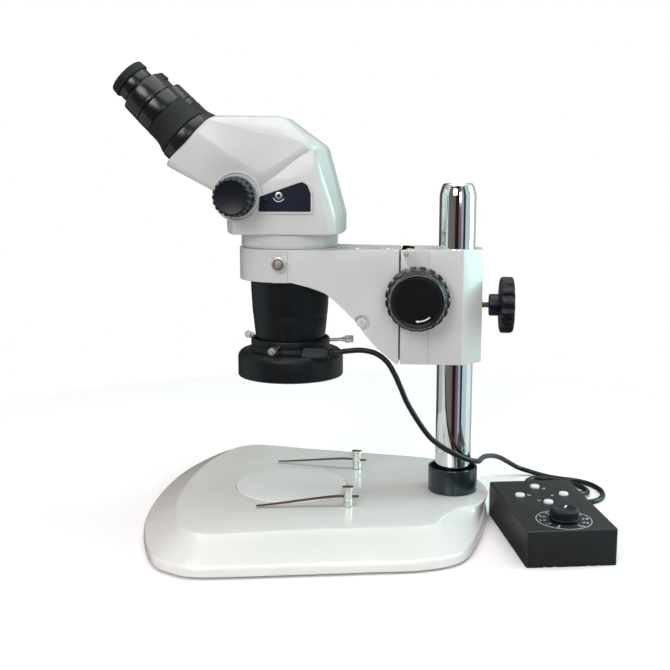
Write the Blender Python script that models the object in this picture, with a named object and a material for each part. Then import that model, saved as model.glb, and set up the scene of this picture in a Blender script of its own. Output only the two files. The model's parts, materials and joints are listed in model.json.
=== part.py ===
"""Stereo zoom microscope on a pillar stand, with an LED ring light and its dimmer box.

Frame: metres, +Z up, the table at z = 0. The user sits at -X and looks towards +X, so the user's right
is -Y. All dimensions below are millimetres and become metres where a mesh is made. Distances along X are
measured from the pillar's axis unless a name says otherwise.
"""

import math

import bmesh
import bpy
from mathutils import Matrix, Vector

MM = 0.001

# Driving dimensions -------------------------------------------------------------------------------------
PILLAR_X = 84.0  # puts the middle of the whole object over the origin
PILLAR_R = 16.0
PILLAR_TOP = 300.0
OPTIC_X = PILLAR_X - 148.3  # the optical axis, over the middle of the stage
GAP = 0.3  # clearance between neighbouring pieces

RIM_BOTTOM, RIM_TOP, DECK_Z = 2.0, 11.0, 23.0
STAGE_R = 51.15
COLLAR_R, COLLAR_TOP = 22.1, 45.5

BLOCK_BOTTOM, BLOCK_TOP = 144.0, 243.7
RACK_LOW, RACK_HIGH = 157.5, 231.7
BLOCK_HALF_Y = 28.5
BLOCK_FRONT, BLOCK_REAR = -48.6, 22.5
FOCUS_X, FOCUS_Z = -33.5, 203.0
PINION_R = 5.5
CLAMP_Z = 193.6

HOLDER_R, HOLDER_BORE = 44.6, 38.2
HOLDER_BOTTOM = 216.0
ARM_REAR = -49.9

HEAD_BOTTOM, HEAD_TOP = 257.0, 357.5
ZOOM_X, ZOOM_Z = -186.0, 289.5
EYE_X, EYE_Z = -228.8, 335.8  # where an eyepiece's axis meets the head's sloping face
EYE_HALF_Y = 28.0
EYE_PIVOT_DROP = 11.0
EYE_TILT = math.radians(-45)
SET_IN = {"left": 6.0, "right": 0.0}  # how far each tube is set in

LAMP_R, LAMP_BOTTOM, LAMP_TOP = 47.6, 128.4, 152.0

BOX_X, BOX_Y, BOX_TURN = 81.1, -54.9, math.radians(9.96)
BOX_W, BOX_L, BOX_H = 74.1, 128.9, 30.5
CORD_R = 2.4

for thing in list(bpy.data.objects):
    bpy.data.objects.remove(thing, do_unlink=True)


# Materials ----------------------------------------------------------------------------------------------
def finish(name, colour, roughness, metallic=0.0):
    material = bpy.data.materials.new(name)
    material.use_nodes = True
    shader = material.node_tree.nodes["Principled BSDF"]
    shader.inputs["Base Color"].default_value = (*colour, 1.0)
    shader.inputs["Roughness"].default_value = roughness
    shader.inputs["Metallic"].default_value = metallic
    material.diffuse_color = (*colour, 1.0)
    return material


WHITE_PAINT = finish("white_paint", (0.78, 0.77, 0.75), 0.35)
STAGE_WHITE = finish("stage_white", (0.86, 0.85, 0.82), 0.3)
BLACK_PAINT = finish("black_paint", (0.012, 0.016, 0.02), 0.4)
BLACK_GLOSS = finish("black_gloss", (0.01, 0.012, 0.018), 0.2)
BLACK_RUBBER = finish("black_rubber", (0.02, 0.022, 0.024), 0.7)
CHROME = finish("chrome", (0.85, 0.86, 0.88), 0.06, 1.0)
STEEL = finish("steel", (0.6, 0.6, 0.6), 0.3, 1.0)
BRASS = finish("brass", (0.7, 0.5, 0.22), 0.3, 1.0)
GLASS = finish("glass", (0.6, 0.75, 0.85), 0.05)
DIFFUSER = finish("diffuser", (0.9, 0.9, 0.88), 0.5)
BUTTON_WHITE = finish("button_white", (0.9, 0.9, 0.9), 0.4)
BOARD_GREEN = finish("board_green", (0.03, 0.2, 0.08), 0.5)


# Mesh helpers -------------------------------------------------------------------------------------------
def add_object(name, bm, material, parent=None, place=(0, 0, 0), turn=(0, 0, 0), sharp=35):
    """The mesh, scaled to metres, as an object at the given place and turn (radians, XYZ)."""
    bmesh.ops.scale(bm, vec=(MM, MM, MM), verts=bm.verts)
    bmesh.ops.recalc_face_normals(bm, faces=bm.faces)
    mesh = bpy.data.meshes.new(name)
    bm.to_mesh(mesh)
    bm.free()
    mesh.shade_smooth()
    mesh.set_sharp_from_angle(angle=math.radians(sharp))
    obj = bpy.data.objects.new(name, mesh)
    obj.location = Vector(place) * MM
    obj.rotation_euler = turn
    obj.parent = parent
    if material:
        mesh.materials.append(material)
    bpy.context.scene.collection.objects.link(obj)
    return obj


def add_axis(name, place, turn=(0, 0, 0), parent=None):
    """An empty that holds what turns or slides about its own Z axis."""
    empty = bpy.data.objects.new(name, None)
    empty.location = Vector(place) * MM
    empty.rotation_euler = turn
    empty.parent = parent
    bpy.context.scene.collection.objects.link(empty)
    return empty


def bridge(bm, low, high):
    """Faces between two rings of vertices; a ring of one vertex closes to a point."""
    count = max(len(low), len(high))
    if count == 1:
        return
    for i in range(count):
        j = (i + 1) % count
        corners = [low[i % len(low)], low[j % len(low)], high[j % len(high)], high[i % len(high)]]
        bm.faces.new(list(dict.fromkeys(corners)))


def loft(rings, closed=False):
    """A solid through rings of points, capped at both ends or joined end to end."""
    bm = bmesh.new()
    made = [[bm.verts.new(p) for p in ring] for ring in rings]
    for low, high in zip(made, made[1:] + (made[:1] if closed else [])):
        bridge(bm, low, high)
    if not closed:
        for ring in (made[0], made[-1]):
            if len(ring) > 1:
                bm.faces.new(ring)
    return bm


def circle(radius, z, count, flutes=0, depth=0.0, phase=0.0):
    """Points round a circle, or round a fluted edge."""
    if radius == 0:
        return [(0, 0, z)]
    points = []
    for i in range(count):
        angle = 2 * math.pi * i / count + phase
        r = radius - depth * (0.5 - 0.5 * math.cos(flutes * angle))
        points.append((r * math.cos(angle), r * math.sin(angle), z))
    return points


def turned(profile, count=28, closed=False):
    """A body turned about Z. The profile lists (radius, z) or (radius, z, flutes, depth)."""
    return loft([circle(p[0], p[1], count, *p[2:]) for p in profile], closed)


def box_mesh(size, centre=(0, 0, 0)):
    bm = bmesh.new()
    bmesh.ops.create_cube(bm, size=1.0)
    bmesh.ops.scale(bm, vec=size, verts=bm.verts)
    bmesh.ops.translate(bm, vec=centre, verts=bm.verts)
    return bm


def prism(outline, low, high):
    """The outline's (x, y) points between two heights."""
    return loft([[(x, y, z) for x, y in outline] for z in (low, high)])


def side_prism(outline, low, high):
    """The outline's (x, z) points between two places along Y."""
    return loft([[(x, y, z) for x, z in outline] for y in (low, high)])


def tool(name, bm, **where):
    """A cutter or a filler for a Boolean, left out of the object itself."""
    obj = add_object(name, bm, None, **where)
    obj.hide_render = True
    obj.display_type = "WIRE"
    return obj


def combine(obj, other, operation):
    modifier = obj.modifiers.new(f"{operation.lower()}_{other.name}", "BOOLEAN")
    modifier.operation = operation
    modifier.solver = "EXACT"
    modifier.object = other


def cut(obj, bm, name, **where):
    combine(obj, tool(f"{obj.name}_{name}", bm, **where), "DIFFERENCE")


def fill(obj, bm, name, **where):
    combine(obj, tool(f"{obj.name}_{name}", bm, **where), "UNION")


def rod(radius, low, high, count=20):
    return turned([(radius, low), (radius, high)], count)


def soften(obj, width, segments=2, angle=30):
    modifier = obj.modifiers.new("edges", "BEVEL")
    modifier.width = width * MM
    modifier.segments = segments
    modifier.limit_method = "ANGLE"
    modifier.angle_limit = math.radians(angle)


def smooth_through(points, steps, closed=True):
    """A Catmull-Rom curve through the points, with a number of steps from each point to the next."""
    points = [Vector(p) for p in points]
    count = len(points)
    out = []
    for i in range(count if closed else count - 1):
        if closed:
            p0, p1, p2, p3 = (points[(i + k) % count] for k in (-1, 0, 1, 2))
        else:
            p0, p1, p2, p3 = (points[min(max(i + k, 0), count - 1)] for k in (-1, 0, 1, 2))
        for s in range(steps):
            t = s / steps
            out.append(
                0.5
                * (
                    2 * p1
                    + (p2 - p0) * t
                    + (2 * p0 - 5 * p1 + 4 * p2 - p3) * t**2
                    + (3 * p1 - 3 * p2 + p3 - p0) * t**3
                )
            )
    return out if closed else out + [points[-1]]


def mirrored(half):
    """A closed outline from its half at y >= 0, whose first and last points are on the X axis."""
    return half + [(x, -y) for x, y in reversed(half[1:-1])]


def inset(outline, distance):
    """The outline moved inwards, each point along its own normal."""
    count = len(outline)
    centre = sum((Vector(p[:2]) for p in outline), Vector((0, 0))) / count
    out = []
    for i in range(count):
        along = Vector(outline[(i + 1) % count][:2]) - Vector(outline[i - 1][:2])
        normal = Vector((-along.y, along.x)).normalized()
        point = Vector(outline[i][:2])
        if normal.dot(centre - point) < 0:
            normal = -normal
        out.append(point + normal * distance)
    return out


def blended(first, second, share):
    return [Vector(a[:2]).lerp(Vector(b[:2]), share) for a, b in zip(first, second)]


def at_height(outline, z, shift=0.0):
    return [(p[0] + shift, p[1], z) for p in outline]


def rounded_rectangle(half_x, half_y, radius, corner_steps=3):
    """Corner arcs of a rectangle about the origin, anticlockwise."""
    points = []
    for k, (sx, sy) in enumerate(((1, 1), (-1, 1), (-1, -1), (1, -1))):
        for s in range(corner_steps + 1):
            angle = math.pi / 2 * (k + s / corner_steps)
            points.append(
                (
                    sx * (half_x - radius) + radius * math.cos(angle),
                    sy * (half_y - radius) + radius * math.sin(angle),
                )
            )
    return points


# The base -----------------------------------------------------------------------------------------------
RIM_HALF = [
    (-274, 0), (-270, 60), (-259, 106), (-241, 149), (-221, 166), (-196, 172), (-124, 160.5),
    (-70, 151), (-24, 142), (6, 122), (21, 76), (28, 36), (31.5, 0),
]
DECK_HALF = [
    (-246.5, 0), (-243.5, 52), (-236, 86), (-225, 116), (-209, 131), (-187, 131.5), (-130, 118),
    (-75, 108), (-21, 97), (-8, 74), (4, 52), (21, 38), (30.5, 0),
]
OUTLINE_STEPS = 2
FEET = {
    "foot_front_left": (-205, 112),
    "foot_front_right": (-205, -112),
    "foot_rear_left": (-32, 80),
    "foot_rear_right": (-32, -80),
}
CLIP_X, CLIP_Y = OPTIC_X + 56.8, 56.0
PIVOT_HOLE_FLOOR = 12.0


def make_base():
    rim = smooth_through(mirrored(RIM_HALF), OUTLINE_STEPS)
    deck = smooth_through(mirrored(DECK_HALF), OUTLINE_STEPS)
    outside = [
        at_height(inset(rim, 1.2), RIM_BOTTOM, PILLAR_X),
        at_height(rim, RIM_BOTTOM + 1.6, PILLAR_X),
        at_height(inset(rim, 0.6), RIM_TOP - 2.2, PILLAR_X),
        at_height(inset(rim, 2.4), RIM_TOP, PILLAR_X),
        at_height(inset(deck, -0.8), DECK_Z - 0.7, PILLAR_X),
        at_height(inset(deck, 1.2), DECK_Z, PILLAR_X),
    ]
    base = add_object("base_casting", loft(outside), WHITE_PAINT)
    ceiling = DECK_Z - 9.0
    hollow = [
        at_height(inset(rim, 6.0), RIM_BOTTOM - 1.0, PILLAR_X),
        at_height(inset(rim, 7.0), RIM_TOP - 4.0, PILLAR_X),
        at_height(inset(blended(rim, deck, 0.5), 4.0), ceiling, PILLAR_X),
    ]
    cut(base, loft(hollow), "underside")
    for name, (x, y) in FEET.items():
        fill(base, rod(11.0, RIM_BOTTOM + 2.0, ceiling + 2.0, 16), f"boss_{name}", place=(PILLAR_X + x, y, 0))
    fill(base, rod(26.0, RIM_BOTTOM + 1.0, ceiling + 2.0), "pillar_boss", place=(PILLAR_X, 0, 0))
    cut(base, rod(PILLAR_R + GAP, PIVOT_HOLE_FLOOR, DECK_Z + 9), "pillar_socket", place=(PILLAR_X, 0, 0))
    cut(base, rod(STAGE_R + GAP, DECK_Z - 4.0, DECK_Z + 9, 40), "stage_recess", place=(OPTIC_X, 0, 0))
    for side in (1, -1):
        cut(base, rod(2.5, 15.5, DECK_Z + 9, 12), f"clip_hole{side}", place=(CLIP_X, side * CLIP_Y, 0))


def make_feet():
    for name, (x, y) in FEET.items():
        pad = turned([(0, 0), (8.4, 0), (9.0, 0.6), (9.0, RIM_BOTTOM + 2.0 - GAP), (0, RIM_BOTTOM + 2.0 - GAP)], 16)
        add_object(name, pad, BLACK_RUBBER, place=(PILLAR_X + x, y, 0))


def make_stage_plate():
    low, high = DECK_Z - 4.0 + GAP, DECK_Z + 0.5
    plate = turned([(0, low), (STAGE_R, low), (STAGE_R, high - 0.5), (STAGE_R - 0.6, high), (0, high)], 40)
    add_object("stage_plate", plate, STAGE_WHITE, place=(OPTIC_X, 0, 0))


def make_pillar():
    foot = PIVOT_HOLE_FLOOR + GAP
    profile = [
        (11.5, foot), (PILLAR_R, foot), (PILLAR_R, PILLAR_TOP - 11.0), (PILLAR_R - 0.7, PILLAR_TOP - 7.5),
        (12.9, PILLAR_TOP - 0.8), (12.2, PILLAR_TOP), (0, PILLAR_TOP), (0, PILLAR_TOP - 6.0), (11.5, PILLAR_TOP - 6.0),
    ]
    add_object("pillar", turned(profile, 32, closed=True), CHROME, place=(PILLAR_X, 0, 0), sharp=20)


def make_collar():
    low = DECK_Z + GAP
    profile = [
        (PILLAR_R + GAP, low), (COLLAR_R, low), (COLLAR_R, COLLAR_TOP - 0.6), (COLLAR_R - 0.5, COLLAR_TOP),
        (COLLAR_R - 1.7, COLLAR_TOP), (COLLAR_R - 2.0, COLLAR_TOP - 0.6), (COLLAR_R - 2.0, low + 4.5),
        (PILLAR_R + GAP, low + 4.5),
    ]
    add_object("pillar_collar", turned(profile, 28, closed=True), BLACK_RUBBER, place=(PILLAR_X, 0, 0))


# Stage clips --------------------------------------------------------------------------------------------
LEAF_Z = 32.0
LEAF_T = 1.4
LEAF_SPLAY = math.radians(8)


def leaf_path():
    """(distance in front of the post, height, half width) along the spring leaf, from its tail to its tip."""
    return [
        (-9.5, LEAF_Z - 0.2, 1.8), (-4.0, LEAF_Z - 0.1, 1.9), (4.5, LEAF_Z + 0.1, 1.9), (14.0, LEAF_Z, 2.2),
        (30.0, LEAF_Z - 1.7, 2.1), (46.0, LEAF_Z - 3.6, 1.9), (62.0, LEAF_Z - 5.5, 1.7), (74.0, LEAF_Z - 6.8, 1.5),
        (79.5, LEAF_Z - 7.0, 1.3),
    ]


def make_clips():
    for side, hand in ((1, "left"), (-1, "right")):
        axis = add_axis(f"clip_axis_{hand}", (CLIP_X, side * CLIP_Y, 0), (0, 0, math.pi - side * LEAF_SPLAY))
        post = turned(
            [(0, 16.0), (2.2, 16.0), (2.2, DECK_Z + GAP), (4.2, DECK_Z + GAP), (4.2, 37.6), (4.7, 38.4),
             (4.7, 40.0), (4.2, 40.6), (0, 40.6)], 12,
        )
        post = add_object(f"clip_post_{hand}", post, CHROME, parent=axis)
        cut(post, box_mesh((14, 4.2, LEAF_T + 0.7), (0, 0, LEAF_Z)), "slot", parent=axis)
        rings = [
            [(x, -w, z - LEAF_T / 2), (x, w, z - LEAF_T / 2), (x, w, z + LEAF_T / 2), (x, -w, z + LEAF_T / 2)]
            for x, z, w in leaf_path()
        ]
        add_object(f"stage_clip_{hand}", loft(rings), STEEL, parent=axis)


# Dimmer box ---------------------------------------------------------------------------------------------
BOX_WALL, BOX_ROOF = 2.3, 2.5
BUTTONS = {"button_far": (0, 45), "button_left": (-19.5, 23), "button_right": (19.5, 23), "button_near": (0, 3)}
BUTTON_R = 4.2
DIAL = (0, -40)
DIAL_R = 11.9
BOARD_Z = 14.0
GLAND_U, JACK_U = 22.0, -20.0
PORT_Z = 12.0


def make_box():
    axis = add_axis("box_axis", (PILLAR_X + BOX_X, BOX_Y, 0), (0, 0, BOX_TURN))
    outline = rounded_rectangle(BOX_W / 2, BOX_L / 2, 3.0)
    shell = loft(
        [at_height(outline, 0), at_height(outline, BOX_H - 1.0), at_height(inset(outline, 0.8), BOX_H)]
    )
    shell = add_object("control_shell", shell, BLACK_PAINT, parent=axis)
    inner = box_mesh((BOX_W - 2 * BOX_WALL, BOX_L - 2 * BOX_WALL, BOX_H), (0, 0, BOX_H / 2 - BOX_ROOF))
    cut(shell, inner, "inside", parent=axis)
    for name, (u, v) in BUTTONS.items():
        cut(shell, rod(BUTTON_R + GAP, BOX_H - 6, BOX_H + 6, 12), f"hole_{name}", parent=axis, place=(u, v, 0))
    cut(shell, rod(3.6, BOX_H - 6, BOX_H + 6, 16), "dial_hole", parent=axis, place=(*DIAL, 0))
    far = BOX_L / 2
    cut(shell, rod(4.0 + GAP, -9, 9, 20), "gland_hole", parent=axis, place=(GLAND_U, far, PORT_Z), turn=(math.pi / 2, 0, 0))
    cut(shell, box_mesh((9 + 2 * GAP, 12, 11 + 2 * GAP)), "jack_hole", parent=axis, place=(JACK_U, far, PORT_Z - 3))
    cover = box_mesh((BOX_W - 2 * BOX_WALL - 2 * GAP, BOX_L - 2 * BOX_WALL - 2 * GAP, 2.0), (0, 0, 1.4))
    add_object("control_bottom_cover", cover, BLACK_PAINT, parent=axis)
    board = box_mesh((62, 100, 1.6), (0, -8, BOARD_Z + 0.8))
    add_object("control_circuit_board", board, BOARD_GREEN, parent=axis)
    jack = box_mesh((9, 12, 11), (JACK_U, far - 6.2, PORT_Z - 3))
    jack = add_object("power_jack", jack, BLACK_GLOSS, parent=axis)
    cut(jack, rod(3.1, -9, 9, 14), "socket", parent=axis, place=(JACK_U, far, PORT_Z - 3), turn=(math.pi / 2, 0, 0))
    gland = turned([(CORD_R + GAP, -4), (5.6, -4), (5.6, -BOX_WALL - GAP), (4.0, -BOX_WALL - GAP), (4.0, GAP),
                    (5.2, GAP), (5.2, 2.0), (3.8, 9.0), (CORD_R + GAP, 9.0)], 14, closed=True)
    add_object("cord_gland", gland, BLACK_RUBBER, parent=axis, place=(GLAND_U, far, PORT_Z), turn=(-math.pi / 2, 0, 0))
    for name, (u, v) in BUTTONS.items():
        push = turned(
            [(0, BOARD_Z + 3.4), (2.0, BOARD_Z + 3.4), (2.0, 24.0), (5.6, 24.0), (5.6, 25.6), (BUTTON_R, 25.6),
             (BUTTON_R, BOX_H + 1.3), (BUTTON_R - 0.7, BOX_H + 1.9), (0, BOX_H + 1.9)], 12,
        )
        add_object(name, push, BUTTON_WHITE, parent=axis, place=(u, v, 0))
    pot = turned(
        [(0, BOARD_Z + 1.9), (8.0, BOARD_Z + 1.9), (8.0, 25.0), (3.3, 25.0), (3.3, 21.0), (0, 21.0)], 16
    )
    add_object("dimmer_potentiometer", pot, STEEL, parent=axis, place=(*DIAL, 0))
    knob = turned(
        [(0, 21.4), (3.0, 21.4), (3.0, BOX_H + 0.7), (DIAL_R + 0.2, BOX_H + 0.7), (DIAL_R + 0.2, BOX_H + 2.0),
         (DIAL_R, BOX_H + 2.4, 14, 1.0), (DIAL_R - 0.7, BOX_H + 9.2, 14, 1.0), (DIAL_R - 2.0, BOX_H + 10.0),
         (0, BOX_H + 10.0)], 28,
    )
    add_object("dimmer_knob", knob, BLACK_RUBBER, parent=axis, place=(*DIAL, 0))


# Carriage: bush, block, clamp and focus drive -----------------------------------------------------------
BUSH_R = PILLAR_R + 1.9
SLIDE_HALF_Y = 11.0
SLIDE_DEPTH = 9.6


def make_bush():
    low, high = BLOCK_BOTTOM + 2, BLOCK_TOP - 2
    inner, outer = PILLAR_R + 0.2, BUSH_R
    bush = turned([(inner, low), (outer, low), (outer, high), (inner, high)], 24, closed=True)
    bush = add_object("pillar_bush", bush, BRASS, place=(PILLAR_X, 0, 0))
    cut(bush, box_mesh((12, 2.0, 200)), "slit", place=(PILLAR_X - BUSH_R, 0, (low + high) / 2))


def make_block():
    chamfer = 17.5
    y = BLOCK_HALF_Y
    half = [(BLOCK_REAR, y - chamfer), (BLOCK_REAR - chamfer, y), (BLOCK_FRONT, y)]
    outline = half + [(px, -py) for px, py in reversed(half)]
    block = add_object("focus_block", prism(outline, BLOCK_BOTTOM, BLOCK_TOP), WHITE_PAINT, place=(PILLAR_X, 0, 0))
    soften(block, 0.8, 2)
    cut(block, rod(BUSH_R + GAP, 100, 300, 24), "pillar_bore", place=(PILLAR_X, 0, 0))
    slot = box_mesh((SLIDE_DEPTH + 2, 2 * SLIDE_HALF_Y + 2 * GAP, 200), (BLOCK_FRONT + SLIDE_DEPTH / 2, 0, 200))
    cut(block, slot, "slide_slot", place=(PILLAR_X, 0, 0))
    pocket = rod(PINION_R + 2.0, -SLIDE_HALF_Y - GAP, SLIDE_HALF_Y + GAP, 20)
    cut(block, pocket, "pinion_pocket", place=(PILLAR_X + FOCUS_X, 0, FOCUS_Z), turn=(math.pi / 2, 0, 0))
    cut(block, rod(4.0 + GAP, -40, 40, 16), "shaft_bore", place=(PILLAR_X + FOCUS_X, 0, FOCUS_Z), turn=(math.pi / 2, 0, 0))
    cut(block, rod(3.0 + GAP, 0, 40, 16), "clamp_bore", place=(PILLAR_X, 0, CLAMP_Z), turn=(0, math.pi / 2, 0))
    for side in (1, -1):
        seam = box_mesh((0.8, 1.4, 200), (-24.3, side * BLOCK_HALF_Y, 200))
        cut(block, seam, f"seam{side}", place=(PILLAR_X, 0, 0))
    cut(block, rod(2.2, 0, 9, 12), "gib_hole", place=(PILLAR_X - 43.7, -BLOCK_HALF_Y - 4, 239.8), turn=(-math.pi / 2, 0, 0))


def make_clamp():
    axis = add_axis("clamp_axis", (PILLAR_X, 0, CLAMP_Z), (0, math.pi / 2, 0))
    pad_low = BUSH_R + 0.6
    add_object("clamp_pad", rod(2.9, pad_low, pad_low + 1.6, 12), BRASS, parent=axis)
    screw = turned(
        [(0, pad_low + 2.2), (2.5, pad_low + 2.2), (2.5, 41.0), (0, 41.0)], 12
    )
    add_object("clamp_screw", screw, BRASS, parent=axis)
    knob = turned(
        [(2.5 + GAP, 29.0), (9.0, 29.0), (9.6, 29.8), (9.6, 38.4), (23.6, 38.4), (25.0, 39.8, 12, 2.6),
         (25.0, 48.7, 12, 2.6), (23.4, 50.3), (0, 50.3), (0, 41.4), (2.5 + GAP, 41.4)], 24, closed=True,
    )
    add_object("clamp_knob", knob, BLACK_PAINT, parent=axis)


def socketed_knob(profile, socket, count):
    """A knob turned about Z, its profile from foot to top, with a blind hole of (radius, floor) from its foot."""
    radius, floor = socket
    return turned(profile + [(0, floor), (radius, floor), (radius, profile[0][1])], count, closed=True)


def make_focus_drive():
    turn = (math.pi / 2, 0, 0)
    place = (PILLAR_X + FOCUS_X, 0, FOCUS_Z)
    shaft = turned(
        [(0, -41), (4.0, -41), (4.0, -9.5), (PINION_R + 0.5, -9.5, 14, 1.7), (PINION_R + 0.5, 9.5, 14, 1.7),
         (4.0, 9.5), (4.0, 41), (0, 41)], 28,
    )
    add_object("focus_pinion_shaft", shaft, STEEL, place=place, turn=turn)
    profile = [
        (25.8, 31.2), (27.6, 33.0), (27.6, 41.6), (26.2, 42.4), (25.6, 51.6), (23.4, 59.0), (21.4, 61.6),
        (19.6, 61.0), (19.0, 59.8), (0, 59.8),
    ]
    for hand, sign in (("right", 1), ("left", -1)):
        knob = socketed_knob(profile, (4.0 + GAP, 42.0), 28)
        add_object(f"focus_knob_{hand}", knob, BLACK_GLOSS, place=place, turn=(sign * math.pi / 2, 0, 0))


# Focus arm ----------------------------------------------------------------------------------------------
ARM_TAPER = 0.1703  # how fast each side of the arm spreads towards the ring holder


def arm_outline():
    """The arm's side view, (x, z) from the pillar's axis, below the ring holder and back to the slide."""
    return [
        (-141.0, BLOCK_TOP), (-141.0, HOLDER_BOTTOM), (-127.7, 212.5), (-118.0, 209.0), (-112.2, 206.4),
        (-105.9, 201.0), (-96.0, 191.6), (-88.8, 184.0), (-79.5, 171.5), (-69.9, 159.8), (-60.0, 151.2),
        (-52.0, BLOCK_BOTTOM), (ARM_REAR, BLOCK_BOTTOM), (ARM_REAR, BLOCK_TOP),
    ]


def arm_half(x):
    return BLOCK_HALF_Y + ARM_TAPER * (ARM_REAR - x)


def make_arm():
    arm = loft([[(x, side * arm_half(x), z) for x, z in arm_outline()] for side in (-1, 1)])
    arm = add_object("focus_arm", arm, WHITE_PAINT, place=(PILLAR_X, 0, 0))
    soften(arm, 0.8, 2)
    holder = turned(
        [(0, HOLDER_BOTTOM), (HOLDER_R - 1.2, HOLDER_BOTTOM), (HOLDER_R, HOLDER_BOTTOM + 1.2),
         (HOLDER_R, BLOCK_TOP - 0.4), (HOLDER_R - 1.2, BLOCK_TOP + 0.8), (0, BLOCK_TOP + 0.8)], 36,
    )
    fill(arm, holder, "ring_holder", place=(OPTIC_X, 0, 0))
    slide_low, slide_high = BLOCK_BOTTOM + 0.6, BLOCK_TOP - 0.6
    slide = box_mesh(
        (SLIDE_DEPTH + 2, 2 * SLIDE_HALF_Y, slide_high - slide_low),
        (ARM_REAR + SLIDE_DEPTH / 2 - 3.0, 0, (slide_low + slide_high) / 2),
    )
    fill(arm, slide, "slide", place=(PILLAR_X, 0, 0))
    pad = box_mesh((12.0, 8.0, HOLDER_HEIGHT), (0, -HOLDER_R + 3.2, HOLDER_BOTTOM + HOLDER_HEIGHT / 2 + 0.2))
    fill(arm, pad, "screw_pad", place=(OPTIC_X, 0, 0), turn=(0, 0, LOCK_TURN))
    lock = add_axis("lock_hole_axis", (OPTIC_X, 0, LOCK_Z), (0, 0, LOCK_TURN))
    cut(arm, rod(3.0 + GAP, 20, 70, 12), "lock_hole", parent=lock, turn=(math.pi / 2, 0, 0))
    for side in (1, -1):
        recess = rod(6.9, -3.0, 3.0, 16)
        turn = (math.pi / 2, 0, -side * math.atan(ARM_TAPER))
        cut(arm, recess, f"bolt_recess{side}", place=(PILLAR_X + BOLT_X, side * arm_half(BOLT_X), BOLT_Z), turn=turn)
    cut(arm, rod(HOLDER_BORE, 100, 300, 36), "head_bore", place=(OPTIC_X, 0, 0))
    teeth = 2 * math.pi * PINION_R / 14
    face = FOCUS_X - PINION_R + 0.3
    root = face - 1.7
    outline = [(root - 1.8, RACK_HIGH), (root - 1.8, RACK_LOW)]
    z = RACK_LOW
    while z < RACK_HIGH - teeth / 2:
        outline += [(root, z), (root, z + teeth * 0.36), (face, z + teeth * 0.62), (face, z + teeth * 0.8)]
        z += teeth
    outline += [(root, RACK_HIGH)]
    rack = side_prism(outline, -7.0, 7.0)
    add_object("focus_rack", rack, BRASS, place=(PILLAR_X, 0, RACK_SHIFT))


HOLDER_HEIGHT = BLOCK_TOP - HOLDER_BOTTOM
LOCK_TURN = math.radians(-3.3)
LOCK_Z = 233.1
BOLT_X, BOLT_Z = -81.6, 181.0
RACK_SHIFT = 0.56  # brings a gap of the rack opposite a tooth of the pinion


def make_lock_screw():
    axis = add_axis("lock_axis", (OPTIC_X, 0, LOCK_Z), (0, 0, LOCK_TURN))
    screw = turned(
        [(0, 38.4), (3.0, 38.4), (3.0, 46.2), (5.8, 46.8), (5.8, 53.0), (5.2, 53.6), (0, 53.6)], 16,
    )
    add_object("head_lock_screw", screw, STEEL, parent=axis, turn=(math.pi / 2, 0, 0))


# Head ---------------------------------------------------------------------------------------------------
def hull_mesh(points):
    bm = bmesh.new()
    for p in points:
        bm.verts.new(p)
    made = bmesh.ops.convex_hull(bm, input=bm.verts)
    inner = [v for v in made["geom_interior"] if isinstance(v, bmesh.types.BMVert)]
    bmesh.ops.delete(bm, geom=inner, context="VERTS")
    bmesh.ops.dissolve_limit(bm, angle_limit=math.radians(1), verts=bm.verts, edges=bm.edges)
    return bm


def both_sides(points):
    return [(x, s * y, z) for x, y, z in points for s in (1, -1)]


FACE = EYE_Z - EYE_X  # the sloping face is the plane z - x = FACE
UPPER_POD = both_sides([
    (316.0 - FACE, 51.5, 316.0), (345.0 - FACE, 52, 345.0), (354.0 - FACE, 48.5, 354.0), (357.0 - FACE, 38, 357.0),
    (-150, 26, 357.0),
    (-153, 41, 346.0), (-124, 42, 332.5), (-167, 51, 306), (-206, 50, 293.8), (-190, 46, 288),
    (-166, 46, 291), (-137, 46, 301), (-118.5, 44, 306.5), (-113.8, 20, 330.7), (-110.5, 18, 308),
])
LOWER_BODY = both_sides([
    (-200.5, 20, HEAD_BOTTOM), (-196.5, 36, HEAD_BOTTOM), (-190.5, 46, HEAD_BOTTOM), (-108, 46.5, HEAD_BOTTOM),
    (-102, 42, HEAD_BOTTOM), (-99.0, 20, HEAD_BOTTOM), (-200.5, 20, 270), (-196.5, 36, 270), (-190.5, 46, 270),
    (-108, 46.5, 272), (-102.4, 42, 273.5), (-98.9, 20, 273.5), (-118.5, 45, 306), (-110.9, 18, 308),
    (-190, 44, 296), (-199.5, 26, 288), (-120, 34, 322), (-115.5, 16, 324),
])


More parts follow.
